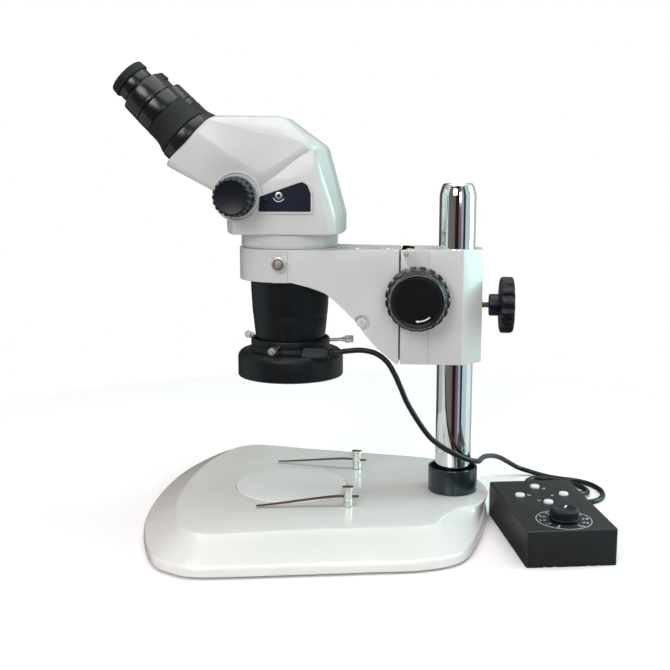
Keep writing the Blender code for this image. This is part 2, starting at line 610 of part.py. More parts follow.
def make_head_shell():
    shell = add_object("head_shell", hull_mesh(UPPER_POD), WHITE_PAINT, place=(PILLAR_X, 0, 0))
    soften(shell, 5.0, 2, 12)
    lower = tool("head_shell_lower", hull_mesh(LOWER_BODY), place=(PILLAR_X, 0, 0))
    soften(lower, 2.5, 1, 12)
    combine(shell, lower, "UNION")
    cut(shell, rod(37.0, 200, 300, 28), "optics_bore", place=(OPTIC_X, 0, 0))
    cut(shell, rod(3.4, -80, 80, 16), "zoom_bore", place=(PILLAR_X + ZOOM_X, 0, ZOOM_Z), turn=(math.pi / 2, 0, 0))
    for side in (1, -1):
        socket = rod(10.0, -8.5, 40, 20)
        cut(shell, socket, f"eye_socket{side}", place=eye_place(side, 0, EYE_PIVOT_DROP), turn=(0, EYE_TILT, 0))
        boss = rod(21.0, 40.0, 51.5, 20)
        turn = (-side * math.pi / 2, 0, 0)
        fill(shell, boss, f"zoom_boss{side}", place=(PILLAR_X + ZOOM_X, 0, ZOOM_Z), turn=turn)
        cut(shell, rod(3.4, -80, 80, 16), f"zoom_bore{side}", place=(PILLAR_X + ZOOM_X, 0, ZOOM_Z), turn=turn)
        frame = side_prism(panel_outline(1.8), side * 38.0, side * 48.6)
        fill(shell, frame, f"panel_frame{side}", place=(PILLAR_X, 0, 0))
        pocket = side_prism(panel_outline(GAP), side * 46.4, side * 60.0)
        cut(shell, pocket, f"panel_pocket{side}", place=(PILLAR_X, 0, 0))


def panel_outline(grow):
    """The side panel's outline, (x, z) from the pillar's axis, grown by a margin."""
    g = grow
    return [
        (-168.0 - g, 277.0 - g), (-124.0 + g, 277.0 - g), (-124.0 + g, 292.0), (-126.4 + 0.8 * g, 297.8 + 0.6 * g),
        (-130.4 + 0.3 * g, 300.8 + 0.9 * g), (-135.0, 300.0 + g), (-167.2 - g, 289.4 + g * 0.6),
    ]


def make_side_panel():
    panel = side_prism(panel_outline(0.0), -48.4, -46.4 - GAP)
    panel = add_object("side_panel", panel, BLACK_GLOSS, place=(PILLAR_X, 0, 0))
    return panel


def eye_place(side, along, drop=0.0):
    """A point on an eyepiece's axis: distance outwards from the head's sloping face."""
    face_x, face_z = PILLAR_X + EYE_X, EYE_Z
    c = math.sqrt(0.5)
    return (face_x - c * along - c * drop, side * EYE_HALF_Y, face_z + c * along - c * drop)


def make_flange():
    low = HOLDER_TOP + GAP
    profile = [
        (29.0, 218.0), (HOLDER_BORE - 0.2, 218.0), (HOLDER_BORE - 0.2, low), (42.9, low), (42.9, HEAD_BOTTOM - GAP),
        (36.6, HEAD_BOTTOM - GAP), (36.6, 262.0), (29.0, 262.0),
    ]
    flange = add_object("head_flange", turned(profile, 32, closed=True), WHITE_PAINT, place=(OPTIC_X, 0, 0))
    return flange


HOLDER_TOP = BLOCK_TOP + 0.8


def make_nosepiece():
    profile = [
        (30.0, 217.6), (35.2, 217.6), (35.2, 212.0), (33.4, 183.5), (31.2, 163.6), (31.2, 153.0), (30.4, 152.2),
        (27.5, 152.2), (26.0, 172.0), (29.6, 185.0), (30.0, 190.0),
    ]
    add_object("nosepiece", turned(profile, 26, closed=True), BLACK_PAINT, place=(OPTIC_X, 0, 0))
    lens = turned([(0, 173.5), (14, 172.9), (25.2, 172.3), (26.2, 174.2), (26.6, 176.4), (14, 178.6), (0, 179.4)], 24)
    add_object("objective_lens", lens, GLASS, place=(OPTIC_X, 0, 0))


def make_zoom_drive():
    place = (PILLAR_X + ZOOM_X, 0, ZOOM_Z)
    shaft = turned([(0, -64), (3.0, -64), (3.0, 64), (0, 64)], 12)
    add_object("zoom_shaft", shaft, STEEL, place=place, turn=(math.pi / 2, 0, 0))
    profile = [
        (14.0, 52.0), (16.9, 52.0), (16.9, 60.4), (16.3, 61.4, 12, 0.9), (16.0, 75.4, 12, 0.9), (14.8, 77.0), (0, 77.0),
    ]
    for hand, sign in (("right", 1), ("left", -1)):
        knob = socketed_knob(profile, (3.0 + GAP, 65.0), 24)
        add_object(f"zoom_knob_{hand}", knob, BLACK_PAINT, place=place, turn=(sign * math.pi / 2, 0, 0))


# Eyepieces ----------------------------------------------------------------------------------------------
def make_eyepieces():
    for side, hand in ((1, "left"), (-1, "right")):
        pivot = add_axis(f"eyetube_axis_{hand}", eye_place(side, 0, EYE_PIVOT_DROP), (0, EYE_TILT, 0))
        axis = add_axis(f"eyepiece_axis_{hand}", (EYE_PIVOT_DROP, 0, 0), parent=pivot)
        top = 44.0 - SET_IN[hand]
        tube = turned(
            [(0, 0.4), (24.7, 0.4), (24.7, 8.9), (24.0, 9.4), (23.6, 12.0), (21.6, 17.2), (20.9, 21.0),
             (20.7, top - 0.6), (20.2, top), (15.9, top), (15.9, 17.4), (11.6, 12.0), (0, 12.0)],
            22, closed=True,
        )
        tube = add_object(f"eyetube_{hand}", tube, BLACK_PAINT, parent=axis)
        fill(tube, rod(9.2, -7.5, 2.0), "pivot_spigot", parent=pivot)
        seat = add_axis(f"ocular_axis_{hand}", (0, 0, top), parent=axis)
        ring = turned(
            [(15.9, 0.4), (20.4, 0.4), (20.5, 1.4), (19.9, 16.0), (19.3, 16.6), (15.0, 16.6), (14.6, 6.0),
             (15.9, 6.0)], 20, closed=True,
        )
        add_object(f"diopter_ring_{hand}", ring, BLACK_GLOSS, parent=seat)
        piece = turned(
            [(12.4, -18.0), (15.0, -18.0), (15.0, 3.4), (14.1, 4.2), (14.3, 18.9), (15.6, 18.9), (15.6, 26.2),
             (14.0, 26.2), (14.0, 30.8), (11.0, 30.8), (11.0, 22.0), (12.4, 20.0)], 20, closed=True,
        )
        add_object(f"eyepiece_{hand}", piece, BLACK_GLOSS, parent=seat)
        cup = turned(
            [(14.3, 26.5), (16.7, 26.5), (17.3, 27.4), (16.7, 34.0), (15.4, 34.5), (12.6, 33.0), (12.0, 31.1),
             (14.3, 31.1)], 20, closed=True,
        )
        add_object(f"eyecup_{hand}", cup, BLACK_RUBBER, parent=seat)


# Ring light ---------------------------------------------------------------------------------------------
LAMP_INNER = 31.5
THUMB_ANGLES = {"ring_light_screw_front": 143, "ring_light_screw_near": 261, "ring_light_screw_rear": 16}
THUMB_Z = 158.4
CABLE_BOSS = (35.5, -32.5)  # from the optical axis


def make_ring_light():
    profile = [
        (LAMP_INNER, LAMP_BOTTOM + 4.0), (LAMP_INNER + 4.5, LAMP_BOTTOM + 4.0), (LAMP_INNER + 4.5, 146.0),
        (LAMP_R - 3.0, 146.0), (LAMP_R - 3.0, LAMP_BOTTOM), (LAMP_R - 0.8, LAMP_BOTTOM), (LAMP_R, LAMP_BOTTOM + 0.8),
        (LAMP_R, 147.0), (LAMP_R - 2.2, 150.6), (LAMP_R - 5.5, LAMP_TOP), (36.8, 153.2), (35.8, 154.2), (35.4, 162.0),
        (34.8, 162.6), (33.4, 162.6), (32.9, 161.8), (32.9, 151.0), (LAMP_INNER, 149.0),
    ]
    housing = add_object("ring_light_housing", turned(profile, 26, closed=True), BLACK_PAINT, place=(OPTIC_X, 0, 0))
    bx, by = CABLE_BOSS
    boss = box_mesh((18, 10, 9.5), (bx - 6.5, by + 0.5, 153.0))
    boss = tool("ring_light_boss", boss, place=(OPTIC_X, 0, 0))
    soften(boss, 1.2, 2)
    combine(housing, boss, "UNION")
    cut(housing, rod(CORD_R + 0.4, -6, 20, 16), "cable_hole", place=(OPTIC_X + bx, by, CABLE_Z), turn=(0, math.pi / 2, 0))
    for name, angle in THUMB_ANGLES.items():
        turn = add_axis(f"{name}_hole", (OPTIC_X, 0, THUMB_Z), (0, 0, math.radians(angle)))
        cut(housing, rod(1.5 + GAP, 30, 45, 12), f"hole_{name}", parent=turn, turn=(0, math.pi / 2, 0))
    board = turned(
        [(LAMP_INNER + 5.2, 143.6), (LAMP_R - 3.6, 143.6), (LAMP_R - 3.6, 145.2), (LAMP_INNER + 5.2, 145.2)], 28, closed=True,
    )
    add_object("ring_light_led_board", board, BOARD_GREEN, place=(OPTIC_X, 0, 0))
    low = LAMP_BOTTOM + 0.6
    cover = turned(
        [(LAMP_INNER + 0.4, low), (LAMP_R - 3.5, low), (LAMP_R - 3.5, low + 2.6), (LAMP_INNER + 0.4, low + 2.6)], 28, closed=True,
    )
    add_object("ring_light_diffuser", cover, DIFFUSER, place=(OPTIC_X, 0, 0))
    for name, angle in THUMB_ANGLES.items():
        axis = add_axis(f"{name}_axis", (OPTIC_X, 0, THUMB_Z), (0, 0, math.radians(angle)))
        screw = turned(
            [(0, 31.5), (1.5, 31.5), (1.5, 50.0), (3.4, 50.8), (3.4, 57.4), (2.8, 58.0), (0, 58.0)], 12,
        )
        add_object(name, screw, STEEL, parent=axis, turn=(0, math.pi / 2, 0))


CABLE_Z = 153.8


# Cord ---------------------------------------------------------------------------------------------------
CORD_ROUTE = [
    (-111.6, -32.5, 153.8), (-104.0, -32.5, 154.4), (-92.0, -31.0, 155.8), (-81.0, -29.0, 156.0), (-69.0, -28.0, 153.0),
    (-59.3, -28.5, 145.6), (-52.5, -29.5, 134.6), (-47.5, -30.5, 123.8), (-40.0, -31.5, 107.5), (-25.7, -32.0, 85.4),
    (-15.0, -31.5, 74.4), (1.0, -29.5, 64.4), (15.0, -21.5, 57.0), (23.0, -5.5, 51.6), (26.4, 14.0, 48.0),
    (31.5, 38.0, 43.5), (40.4, 69.0, 35.4), (49.4, 92.0, 27.2), (59.6, 109.5, 17.4), (71.0, 120.5, 8.6),
    (83.0, 122.5, 4.2), (93.5, 116.5, 2.8), (104.0, 109.5, 2.6), (115.5, 104.4, 2.6), (127.5, 100.0, 2.6),
    (138.5, 90.5, 2.6), (145.6, 75.0, 2.6), (146.0, 57.5, 2.6), (139.5, 42.5, 2.6), (126.5, 33.5, 2.6),
    (110.5, 33.5, 2.6), (97.0, 41.5, 2.6), (86.5, 55.0, 2.6), (80.6, 68.5, 2.6), (77.2, 82.0, 2.6), (77.6, 94.0, 2.6),
    (82.6, 102.2, 2.6), (90.6, 105.8, 2.6), (99.0, 104.2, 2.6), (106.5, 100.2, 2.6), (114.0, 95.6, 2.6),
    (122.5, 89.5, 2.6), (130.0, 78.0, 2.7), (132.6, 66.0, 3.0), (129.6, 55.6, 4.4), (123.0, 48.4, 6.4),
    (115.0, 45.8, 8.2), (107.0, 45.4, 9.6), (98.8, 42.6, 10.8), (93.2, 36.2, 11.6), (90.4, 28.0, 12.0),
    (90.6, 19.2, 12.0), (92.2, 9.0, 12.0),
]
# The cord is four lengths laid end to end, one for each joint that it crosses.
CORD_CUTS = {"cord_at_lamp": (0, 3), "cord_at_arm": (3, 6), "cord_at_block": (6, 9), "cord_to_box": (9, None)}
CORD_STEPS = 2


def make_cord():
    route = [Vector((PILLAR_X + x, y, z)) for x, y, z in CORD_ROUTE]
    smooth = smooth_through(route, CORD_STEPS, closed=False)
    for name, (first, last) in CORD_CUTS.items():
        end = len(smooth) - 1 if last is None else last * CORD_STEPS
        points = smooth[first * CORD_STEPS : end + 1]
        if first:
            # A short straight start keeps this end square to the end that it meets.
            along = (points[0] - smooth[first * CORD_STEPS - 1]).normalized()
            points = [points[0] + along * GAP, points[0] + along * 1.5] + points[1:]
        curve = bpy.data.curves.new(name, "CURVE")
        curve.dimensions = "3D"
        curve.bevel_depth = CORD_R * MM
        curve.bevel_resolution = 1
        curve.use_fill_caps = True
        line = curve.splines.new("POLY")
        line.points.add(len(points) - 1)
        for target, p in zip(line.points, points):
            target.co = (*(p * MM), 1)
        curve.materials.append(BLACK_RUBBER)
        bpy.context.scene.collection.objects.link(bpy.data.objects.new(name, curve))


make_base()
make_feet()
make_stage_plate()
make_pillar()
make_collar()
make_clips()
make_box()
make_bush()
make_block()
make_clamp()
make_focus_drive()
make_arm()
make_lock_screw()
make_head_shell()
make_side_panel()
make_flange()
make_nosepiece()
make_zoom_drive()
make_eyepieces()
make_ring_light()
make_cord()
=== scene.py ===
"""The looks of the stereo zoom microscope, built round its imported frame.

Lengths in the mesh code are millimetres in the frame's axes: +Z up, the user at -X, the user's right at -Y.
"""

import json
import math

import bmesh
import bpy
from mathutils import Matrix, Vector

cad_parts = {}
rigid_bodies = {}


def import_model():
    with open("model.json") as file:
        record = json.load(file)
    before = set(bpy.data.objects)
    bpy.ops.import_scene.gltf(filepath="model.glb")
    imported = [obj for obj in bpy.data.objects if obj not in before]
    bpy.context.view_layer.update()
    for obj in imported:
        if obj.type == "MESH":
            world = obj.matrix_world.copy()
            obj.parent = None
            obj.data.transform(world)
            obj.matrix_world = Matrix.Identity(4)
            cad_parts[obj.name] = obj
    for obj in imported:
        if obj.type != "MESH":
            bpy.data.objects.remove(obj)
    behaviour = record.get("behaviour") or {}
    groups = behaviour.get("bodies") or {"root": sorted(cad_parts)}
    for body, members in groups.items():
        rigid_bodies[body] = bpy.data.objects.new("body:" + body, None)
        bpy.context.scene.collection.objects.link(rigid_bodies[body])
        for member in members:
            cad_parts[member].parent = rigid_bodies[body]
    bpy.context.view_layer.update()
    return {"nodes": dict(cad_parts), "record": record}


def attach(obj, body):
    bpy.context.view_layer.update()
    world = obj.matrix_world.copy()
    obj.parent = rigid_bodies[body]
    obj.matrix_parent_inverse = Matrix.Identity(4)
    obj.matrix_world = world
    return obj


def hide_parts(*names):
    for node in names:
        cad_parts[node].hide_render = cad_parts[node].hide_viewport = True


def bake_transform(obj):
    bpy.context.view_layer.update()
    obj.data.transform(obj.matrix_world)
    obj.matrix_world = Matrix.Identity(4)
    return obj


for thing in list(bpy.data.objects):
    bpy.data.objects.remove(thing, do_unlink=True)

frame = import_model()

MM = 0.001
PX = 84.0  # the pillar's axis
OX = PX - 148.3  # the optical axis
EYE_X, EYE_Y, EYE_Z = 228.8, 28.0, 335.8  # an eyepiece's axis at the head's face, X forward of the pillar
AXLE_X, AXLE_Z = 33.5, 203.0  # the focus pinion, X forward of the pillar
ZOOM_X, ZOOM_Z = 186.0, 289.5  # the zoom shaft, X forward of the pillar
STUD_Z = 193.6  # the clamp screw
BLOCK_LOW, BLOCK_HIGH, BLOCK_Y = 144.0, 243.7, 28.5  # the focus block's ends and its half width
WALL_R = 3200.0  # how far off the studio's walls stand
TAU = 2 * math.pi


# Camera, light and floor -----------------
def make_camera():
    camera = bpy.data.cameras.new("camera")
    camera.lens, camera.sensor_width = 53.73, 36.0
    obj = bpy.data.objects.new("camera", camera)
    obj.location = Vector((PX - 27.1, -887.0, 312.8)) * MM
    obj.rotation_euler = (math.radians(90 - 9.46), 0, math.radians(5.2))
    bpy.context.scene.collection.objects.link(obj)
    bpy.context.scene.camera = obj


def add_light(name, place, target, size, power, colour=(1, 1, 1)):
    light = bpy.data.lights.new(name, "AREA")
    light.shape, light.size, light.size_y = "RECTANGLE", size[0], size[1]
    light.energy, light.color = power, colour
    obj = bpy.data.objects.new(name, light)
    obj.location = place
    obj.rotation_euler = (Vector(target) - Vector(place)).to_track_quat("-Z", "Y").to_euler()
    bpy.context.scene.collection.objects.link(obj)
    return obj


def glow(name, colour):
    """A surface that shines with one colour and reflects nothing."""
    made = bpy.data.materials.new(name)
    made.use_nodes = True
    shader = made.node_tree.nodes["Principled BSDF"]
    shader.inputs["Base Color"].default_value = (0, 0, 0, 1)
    shader.inputs["Specular IOR Level"].default_value = 0.0
    shader.inputs["Emission Color"].default_value = (*colour, 1)
    shader.inputs["Emission Strength"].default_value = 1.0
    return made


def add_set(name, bm, finish, seen_by):
    """Part of the studio, seen only by the kinds of ray that are named."""
    obj = add_piece(name, bm, finish)
    for ray in ("camera", "diffuse", "glossy", "shadow", "transmission"):
        setattr(obj, f"visible_{ray}", ray in seen_by)


def strip(start, end):
    """A tall strip of wall between two directions, in degrees from -Y towards +X, round the pillar."""
    bm = bmesh.new()
    rows = []
    for i in range(7):
        a = math.radians(start + (end - start) * i / 6)
        x, y = PX + WALL_R * math.sin(a), -WALL_R * math.cos(a)
        rows.append([bm.verts.new((x, y, z)) for z in (-3500, 4500)])
    for left, right in zip(rows, rows[1:]):
        bm.faces.new((left[0], right[0], right[1], left[1]))
    return bm


# What the chrome mirrors: (from, to, colour), as strips of wall round the object.
WALLS = [
    (-168, -122, (0.10, 0.08, 0.06)), (-118, -84, (0.42, 0.50, 0.48)), (-84, -62, (0.62, 0.72, 0.74)),
    (-62, -34, (0.15, 0.14, 0.13)), (-34, -16, (0.17, 0.12, 0.10)), (-16, 6, (0.012, 0.014, 0.02)),
    (6, 22, (0.16, 0.10, 0.08)), (22, 36, (0.34, 0.38, 0.46)), (36, 50, (0.015, 0.03, 0.07)),
    (50, 84, (0.50, 0.62, 0.64)), (84, 128, (0.80, 0.88, 0.88)), (128, 168, (0.45, 0.48, 0.48)),
]


def make_studio():
    world = bpy.data.worlds.new("studio")
    world.use_nodes = True
    background = world.node_tree.nodes["Background"]
    background.inputs["Color"].default_value = (0.94, 0.98, 1.0, 1.0)
    background.inputs["Strength"].default_value = 0.22
    bpy.context.scene.world = world
    bpy.context.scene.view_settings.view_transform = "Standard"
    add_light("key", (-0.6, -1.9, 1.2), (0, 0, 0.2), (0.9, 0.9), 18)
    add_light("overhead", (0.0, -0.1, 2.2), (0, 0, 0), (2.8, 2.8), 50)
    add_light("front", (0.7, -2.2, 0.9), (0, 0, 0.2), (0.5, 0.9), 6)
    add_light("window", (1.5, 0.25, 0.6), (0, 0, 0.25), (0.6, 0.9), 16, (0.52, 1.0, 0.94))
    add_set("floor", rod(640, -10, 0, 128), FLOOR, ("camera", "diffuse", "shadow", "transmission"))
    add_set("backdrop", rod(5000, -2500, 6000, 96), glow("backdrop", (1, 1, 1)), ("camera",))
    for i, (start, end, colour) in enumerate(WALLS):
        add_set(f"wall_{i}", strip(start, end), glow(f"wall_{i}", colour), ("glossy",))


# Materials -------------------------------
def material(name, colour, roughness, metallic=0.0, **more):
    """A Principled material whose colour and roughness vary a little over the surface, with a fine bump.

    grain is the bump's features per metre and relief its height in metres. patch is the scale of the
    variation, shift how far the colour strays in it and wear how far the roughness does. coat,
    coat_roughness, specular and transmission are the shader's own values.
    """
    made = bpy.data.materials.new(name)
    made.use_nodes = True
    nodes, links = made.node_tree.nodes, made.node_tree.links
    shader = nodes["Principled BSDF"]
    shader.inputs["Metallic"].default_value = metallic
    shader.inputs["Coat Weight"].default_value = more.get("coat", 0.0)
    shader.inputs["Coat Roughness"].default_value = more.get("coat_roughness", 0.1)
    shader.inputs["Specular IOR Level"].default_value = more.get("specular", 0.5)
    shader.inputs["Transmission Weight"].default_value = more.get("transmission", 0.0)
    place = nodes.new("ShaderNodeTexCoord")
    cloud = nodes.new("ShaderNodeTexNoise")
    cloud.inputs["Scale"].default_value = more.get("patch", 25.0)
    cloud.inputs["Detail"].default_value = 4.0
    links.new(place.outputs["Object"], cloud.inputs["Vector"])
    tint = nodes.new("ShaderNodeValToRGB")
    shift = more.get("shift", 0.03)
    dark = [c * (1 - shift) for c in colour]
    light = [min(1.0, c * (1 + shift)) for c in colour]
    tint.color_ramp.elements[0].position, tint.color_ramp.elements[1].position = 0.35, 0.65
    tint.color_ramp.elements[0].color = (*dark, 1)
    tint.color_ramp.elements[1].color = (*light, 1)
    links.new(cloud.outputs["Fac"], tint.inputs["Fac"])
    links.new(tint.outputs["Color"], shader.inputs["Base Color"])
    rough = nodes.new("ShaderNodeMapRange")
    wear = more.get("wear", 0.04)
    rough.inputs["To Min"].default_value = max(0.0, roughness - wear)
    rough.inputs["To Max"].default_value = roughness + wear
    links.new(cloud.outputs["Fac"], rough.inputs["Value"])
    links.new(rough.outputs["Result"], shader.inputs["Roughness"])
    if more.get("relief"):
        grain = nodes.new("ShaderNodeTexNoise")
        grain.inputs["Scale"].default_value = more.get("grain", 1500.0)
        grain.inputs["Detail"].default_value = 2.0
        links.new(place.outputs["Object"], grain.inputs["Vector"])
        bump = nodes.new("ShaderNodeBump")
        bump.inputs["Strength"].default_value = 0.6
        bump.inputs["Distance"].default_value = more["relief"]
        links.new(grain.outputs["Fac"], bump.inputs["Height"])
        links.new(bump.outputs["Normal"], shader.inputs["Normal"])
    made.diffuse_color = (*colour, 1)
    return made


WHITE = material("white_enamel", (0.60, 0.59, 0.582), 0.34, coat=0.25, relief=0.00004, grain=700, shift=0.015)
BASE_WHITE = material(
    "base_enamel", (0.76, 0.732, 0.705), 0.22, coat=0.5, relief=0.00004, grain=500, shift=0.012
)
STAGE = material("stage_plate", (0.87, 0.855, 0.835), 0.25, coat=0.4, relief=0.00001, grain=900, shift=0.01)
SATIN = material(
    "black_satin", (0.003, 0.005, 0.007), 0.4, relief=0.00005, grain=2600, shift=0.2, wear=0.06, specular=0.3
)
BLUE_BLACK = material(
    "blue_black_plastic", (0.003, 0.005, 0.011), 0.34, relief=0.00003, grain=2200, shift=0.2, specular=0.35
)
GLOSS = material(
    "black_gloss", (0.004, 0.004, 0.006), 0.26, coat=0.12, coat_roughness=0.2, relief=0.000003, grain=900,
    shift=0.15
)
RUBBER = material(
    "black_rubber", (0.007, 0.008, 0.009), 0.6, relief=0.00008, grain=2400, shift=0.2, wear=0.08, specular=0.3
)
COLLAR = material(
    "collar_plastic", (0.006, 0.014, 0.018), 0.28, coat=0.3, relief=0.00003, grain=900, shift=0.2
)
CASE = material("case_satin", (0.010, 0.011, 0.012), 0.42, relief=0.00006, grain=2600, shift=0.15, wear=0.06)
# Spring steel for the clips, its brown tint a painted reflection of the brown surroundings it mirrors.
CLIP_PAINTED_REFLECTION = material(
    "clip_steel_painted_reflection", (0.15, 0.075, 0.055), 0.3, 0.55, relief=0.00002, grain=900, shift=0.2, wear=0.08
)
BOOT = material("tube_boot", (0.012, 0.015, 0.014), 0.7, relief=0.00006, grain=2200, shift=0.15, specular=0.3)
NAVY = material("panel_navy", (0.004, 0.007, 0.02), 0.3, coat=0.3, relief=0.00001, grain=1500, shift=0.08)
CHROME = material("chrome", (0.86, 0.87, 0.88), 0.05, 1.0, relief=0.000004, grain=120, shift=0.02, wear=0.015)
# Steel whose brown tint is a painted reflection of brown surroundings, not the metal's own colour.
STEEL_PAINTED_REFLECTION = material(
    "steel_painted_reflection", (0.42, 0.34, 0.29), 0.24, 1.0, relief=0.00002, grain=900, shift=0.12, wear=0.08
)
NICKEL = material("nickel", (0.82, 0.80, 0.77), 0.34, 1.0, relief=0.00001, grain=900, shift=0.06, wear=0.06)
BRASS = material("brass", (0.62, 0.45, 0.2), 0.28, 1.0, relief=0.00001, grain=1400, shift=0.1, wear=0.08)
GLASS = material(
    "coated_glass", (0.5, 0.62, 0.75), 0.02, coat=1.0, coat_roughness=0.02, transmission=0.85, shift=0.02
)
MILKY = material("diffuser", (0.86, 0.87, 0.84), 0.4, relief=0.00003, grain=1200, shift=0.02)
PRINT = material("white_print", (0.78, 0.79, 0.78), 0.45, relief=0.00001, grain=1500, shift=0.04)
BUTTON = material("button_plastic", (0.78, 0.80, 0.79), 0.3, coat=0.3, relief=0.00001, grain=900, shift=0.02)
BOARD = material(
    "circuit_board", (0.01, 0.12, 0.05), 0.35, coat=0.3, relief=0.00005, grain=300, shift=0.3, patch=180
)
CORD = material(
    "cord_jacket", (0.004, 0.005, 0.006), 0.34, relief=0.00004, grain=1600, shift=0.2, wear=0.07, specular=0.4
)
FLOOR = material(
    "floor", (0.98, 0.94, 0.94), 0.7, specular=0.1, relief=0.00005, grain=400, shift=0.004, patch=3
)


# Mesh helpers ----------------------------
def add_object(name, bm, matrix=None):
    if matrix is not None:
        bmesh.ops.transform(bm, matrix=matrix, verts=bm.verts)
    bmesh.ops.scale(bm, vec=(MM, MM, MM), verts=bm.verts)
    bmesh.ops.recalc_face_normals(bm, faces=bm.faces)
    mesh = bpy.data.meshes.new(name)
    bm.to_mesh(mesh)
    bm.free()
    obj = bpy.data.objects.new(name, mesh)
    bpy.context.scene.collection.objects.link(obj)
    return obj


def settle(obj):
    """Applies the modifiers, so that the mesh is final."""
    bpy.context.view_layer.update()
    done = bpy.data.meshes.new_from_object(obj.evaluated_get(bpy.context.evaluated_depsgraph_get()))
    obj.modifiers.clear()
    obj.data = done
    return obj


def bevel(obj, width, segments=2, angle=30):
    modifier = obj.modifiers.new("edges", "BEVEL")
    modifier.width, modifier.segments = width * MM, segments
    modifier.limit_method, modifier.angle_limit = "ANGLE", math.radians(angle)
    modifier.use_clamp_overlap = True
    return settle(obj)


def combine(obj, operation, other):
    modifier = obj.modifiers.new("boolean", "BOOLEAN")
    modifier.operation, modifier.solver, modifier.object = operation, "EXACT", other
    settle(obj)
    bpy.data.objects.remove(other)
    return obj


def cut(obj, bm, matrix=None):
    return combine(obj, "DIFFERENCE", add_object("cutter", bm, matrix))


def fill(obj, bm, matrix=None):
    return combine(obj, "UNION", add_object("filler", bm, matrix))


def dress(obj, finish, sharp=32):
    obj.data.materials.clear()
    obj.data.materials.append(finish)
    for polygon in obj.data.polygons:
        polygon.material_index = 0
    obj.data.shade_smooth()
    obj.data.set_sharp_from_angle(angle=math.radians(sharp))
    return obj


def add_piece(name, bm, finish, matrix=None, sharp=32):
    return dress(add_object(name, bm, matrix), finish, sharp)


def stands_for(obj, body, *nodes):
    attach(obj, body)
    if nodes:
        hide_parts(*nodes)
    return obj


def bridge(bm, low, high):
    count = max(len(low), len(high))
    if count == 1:
        return
    for i in range(count):
        j = (i + 1) % count
        corners = [low[i % len(low)], low[j % len(low)], high[j % len(high)], high[i % len(high)]]
        bm.faces.new(list(dict.fromkeys(corners)))


def loft(rings, closed=False, bm=None):
    bm = bm or bmesh.new()
    made = [[bm.verts.new(p) for p in ring] for ring in rings]
    for low, high in zip(made, made[1:] + (made[:1] if closed else [])):
        bridge(bm, low, high)
    if not closed:
        for ring in (made[0], made[-1]):
            if len(ring) > 1:
                bm.faces.new(ring)
    return bm


def circle(radius, z, count, wave=None):
    if radius == 0:
        return [(0, 0, z)]
    points = []
    for i in range(count):
        angle = TAU * i / count
        r = radius - (wave(angle) if wave else 0.0)
        points.append((r * math.cos(angle), r * math.sin(angle), z))
    return points


def turned(profile, count=96, closed=True, bm=None):
    """A body turned about Z from (radius, z) or (radius, z, wave) points, joined last to first if closed."""
    return loft([circle(p[0], p[1], count, *p[2:]) for p in profile], closed, bm)


def turned_piece(name, profile, count, finish, place, body, *nodes, ease=0.0, sharp=32):
    """A turned piece that rides on a body and may stand for CAD nodes; ease rounds the profile's corners."""
    bm = turned(eased(profile, ease) if ease else profile, count)
    return stands_for(add_piece(name, bm, finish, place, sharp), body, *nodes)


def eased(profile, radius=0.4, steps=3, closed=True):
    """The profile with its corners rounded, so that a turned edge catches the light."""
    out = []
    count = len(profile)
    for i, point in enumerate(profile):
        before, after = profile[i - 1], profile[(i + 1) % count]
        if point[0] == 0 or (not closed and i in (0, count - 1)):
            out.append(point)
            continue
        p = Vector(point[:2])
        a, b = Vector(before[:2]) - p, Vector(after[:2]) - p
        if a.length < 1e-6 or b.length < 1e-6:
            out.append(point)
            continue
        turn = a.angle(b)
        if turn > math.radians(165):
            out.append(point)
            continue
        reach = min(radius, a.length * 0.45, b.length * 0.45)
        start, end = p + a.normalized() * reach, p + b.normalized() * reach
        for s in range(steps + 1):
            t = s / steps
            q = start * (1 - t) ** 2 + p * (2 * t * (1 - t)) + end * t**2
            out.append((q.x, q.y, *point[2:]))
    return out


def scallops(count, depth, sharpness=1.0):
    return lambda angle: depth * (0.5 - 0.5 * math.cos(count * angle)) ** sharpness


def box_mesh(size, centre=(0, 0, 0)):
    bm = bmesh.new()
    bmesh.ops.create_cube(bm, size=1.0)
    bmesh.ops.scale(bm, vec=size, verts=bm.verts)
    bmesh.ops.translate(bm, vec=centre, verts=bm.verts)
    return bm


def rod(radius, low, high, count=48):
    return turned([(radius, low), (radius, high)], count, closed=False)


def side_prism(outline, low, high):
    return loft([[(x, y, z) for x, z in outline] for y in (low, high)])


def smooth_through(points, steps, closed=True):
    points = [Vector(p) for p in points]
    count = len(points)
    out = []
    for i in range(count if closed else count - 1):
        if closed:
            p0, p1, p2, p3 = (points[(i + k) % count] for k in (-1, 0, 1, 2))
        else:
            p0, p1, p2, p3 = (points[min(max(i + k, 0), count - 1)] for k in (-1, 0, 1, 2))
        for s in range(steps):
            t = s / steps
            a, b = 2 * p0 - 5 * p1 + 4 * p2 - p3, 3 * p1 - 3 * p2 + p3 - p0
            out.append(0.5 * (2 * p1 + (p2 - p0) * t + a * t**2 + b * t**3))
    return out if closed else out + [points[-1]]


def rounded(corners, steps=6):
    """The (x, y, radius) corners of a closed outline as points, each corner a curve of that radius."""
    out = []
    count = len(corners)
    for i, (x, y, radius) in enumerate(corners):
        p = Vector((x, y))
        a = Vector(corners[i - 1][:2]) - p
        b = Vector(corners[(i + 1) % count][:2]) - p
        if radius <= 0:
            out.append((x, y))
            continue
        reach = min(radius / math.tan(a.angle(b) / 2), a.length * 0.49, b.length * 0.49)
        start, end = p + a.normalized() * reach, p + b.normalized() * reach
        for s in range(steps + 1):
            t = s / steps
            q = start * (1 - t) ** 2 + p * (2 * t * (1 - t)) + end * t**2
            out.append((q.x, q.y))
    return out


def move(x, y, z):
    return Matrix.Translation((x, y, z))


def turn(axis, degrees):
    return Matrix.Rotation(math.radians(degrees), 4, axis)


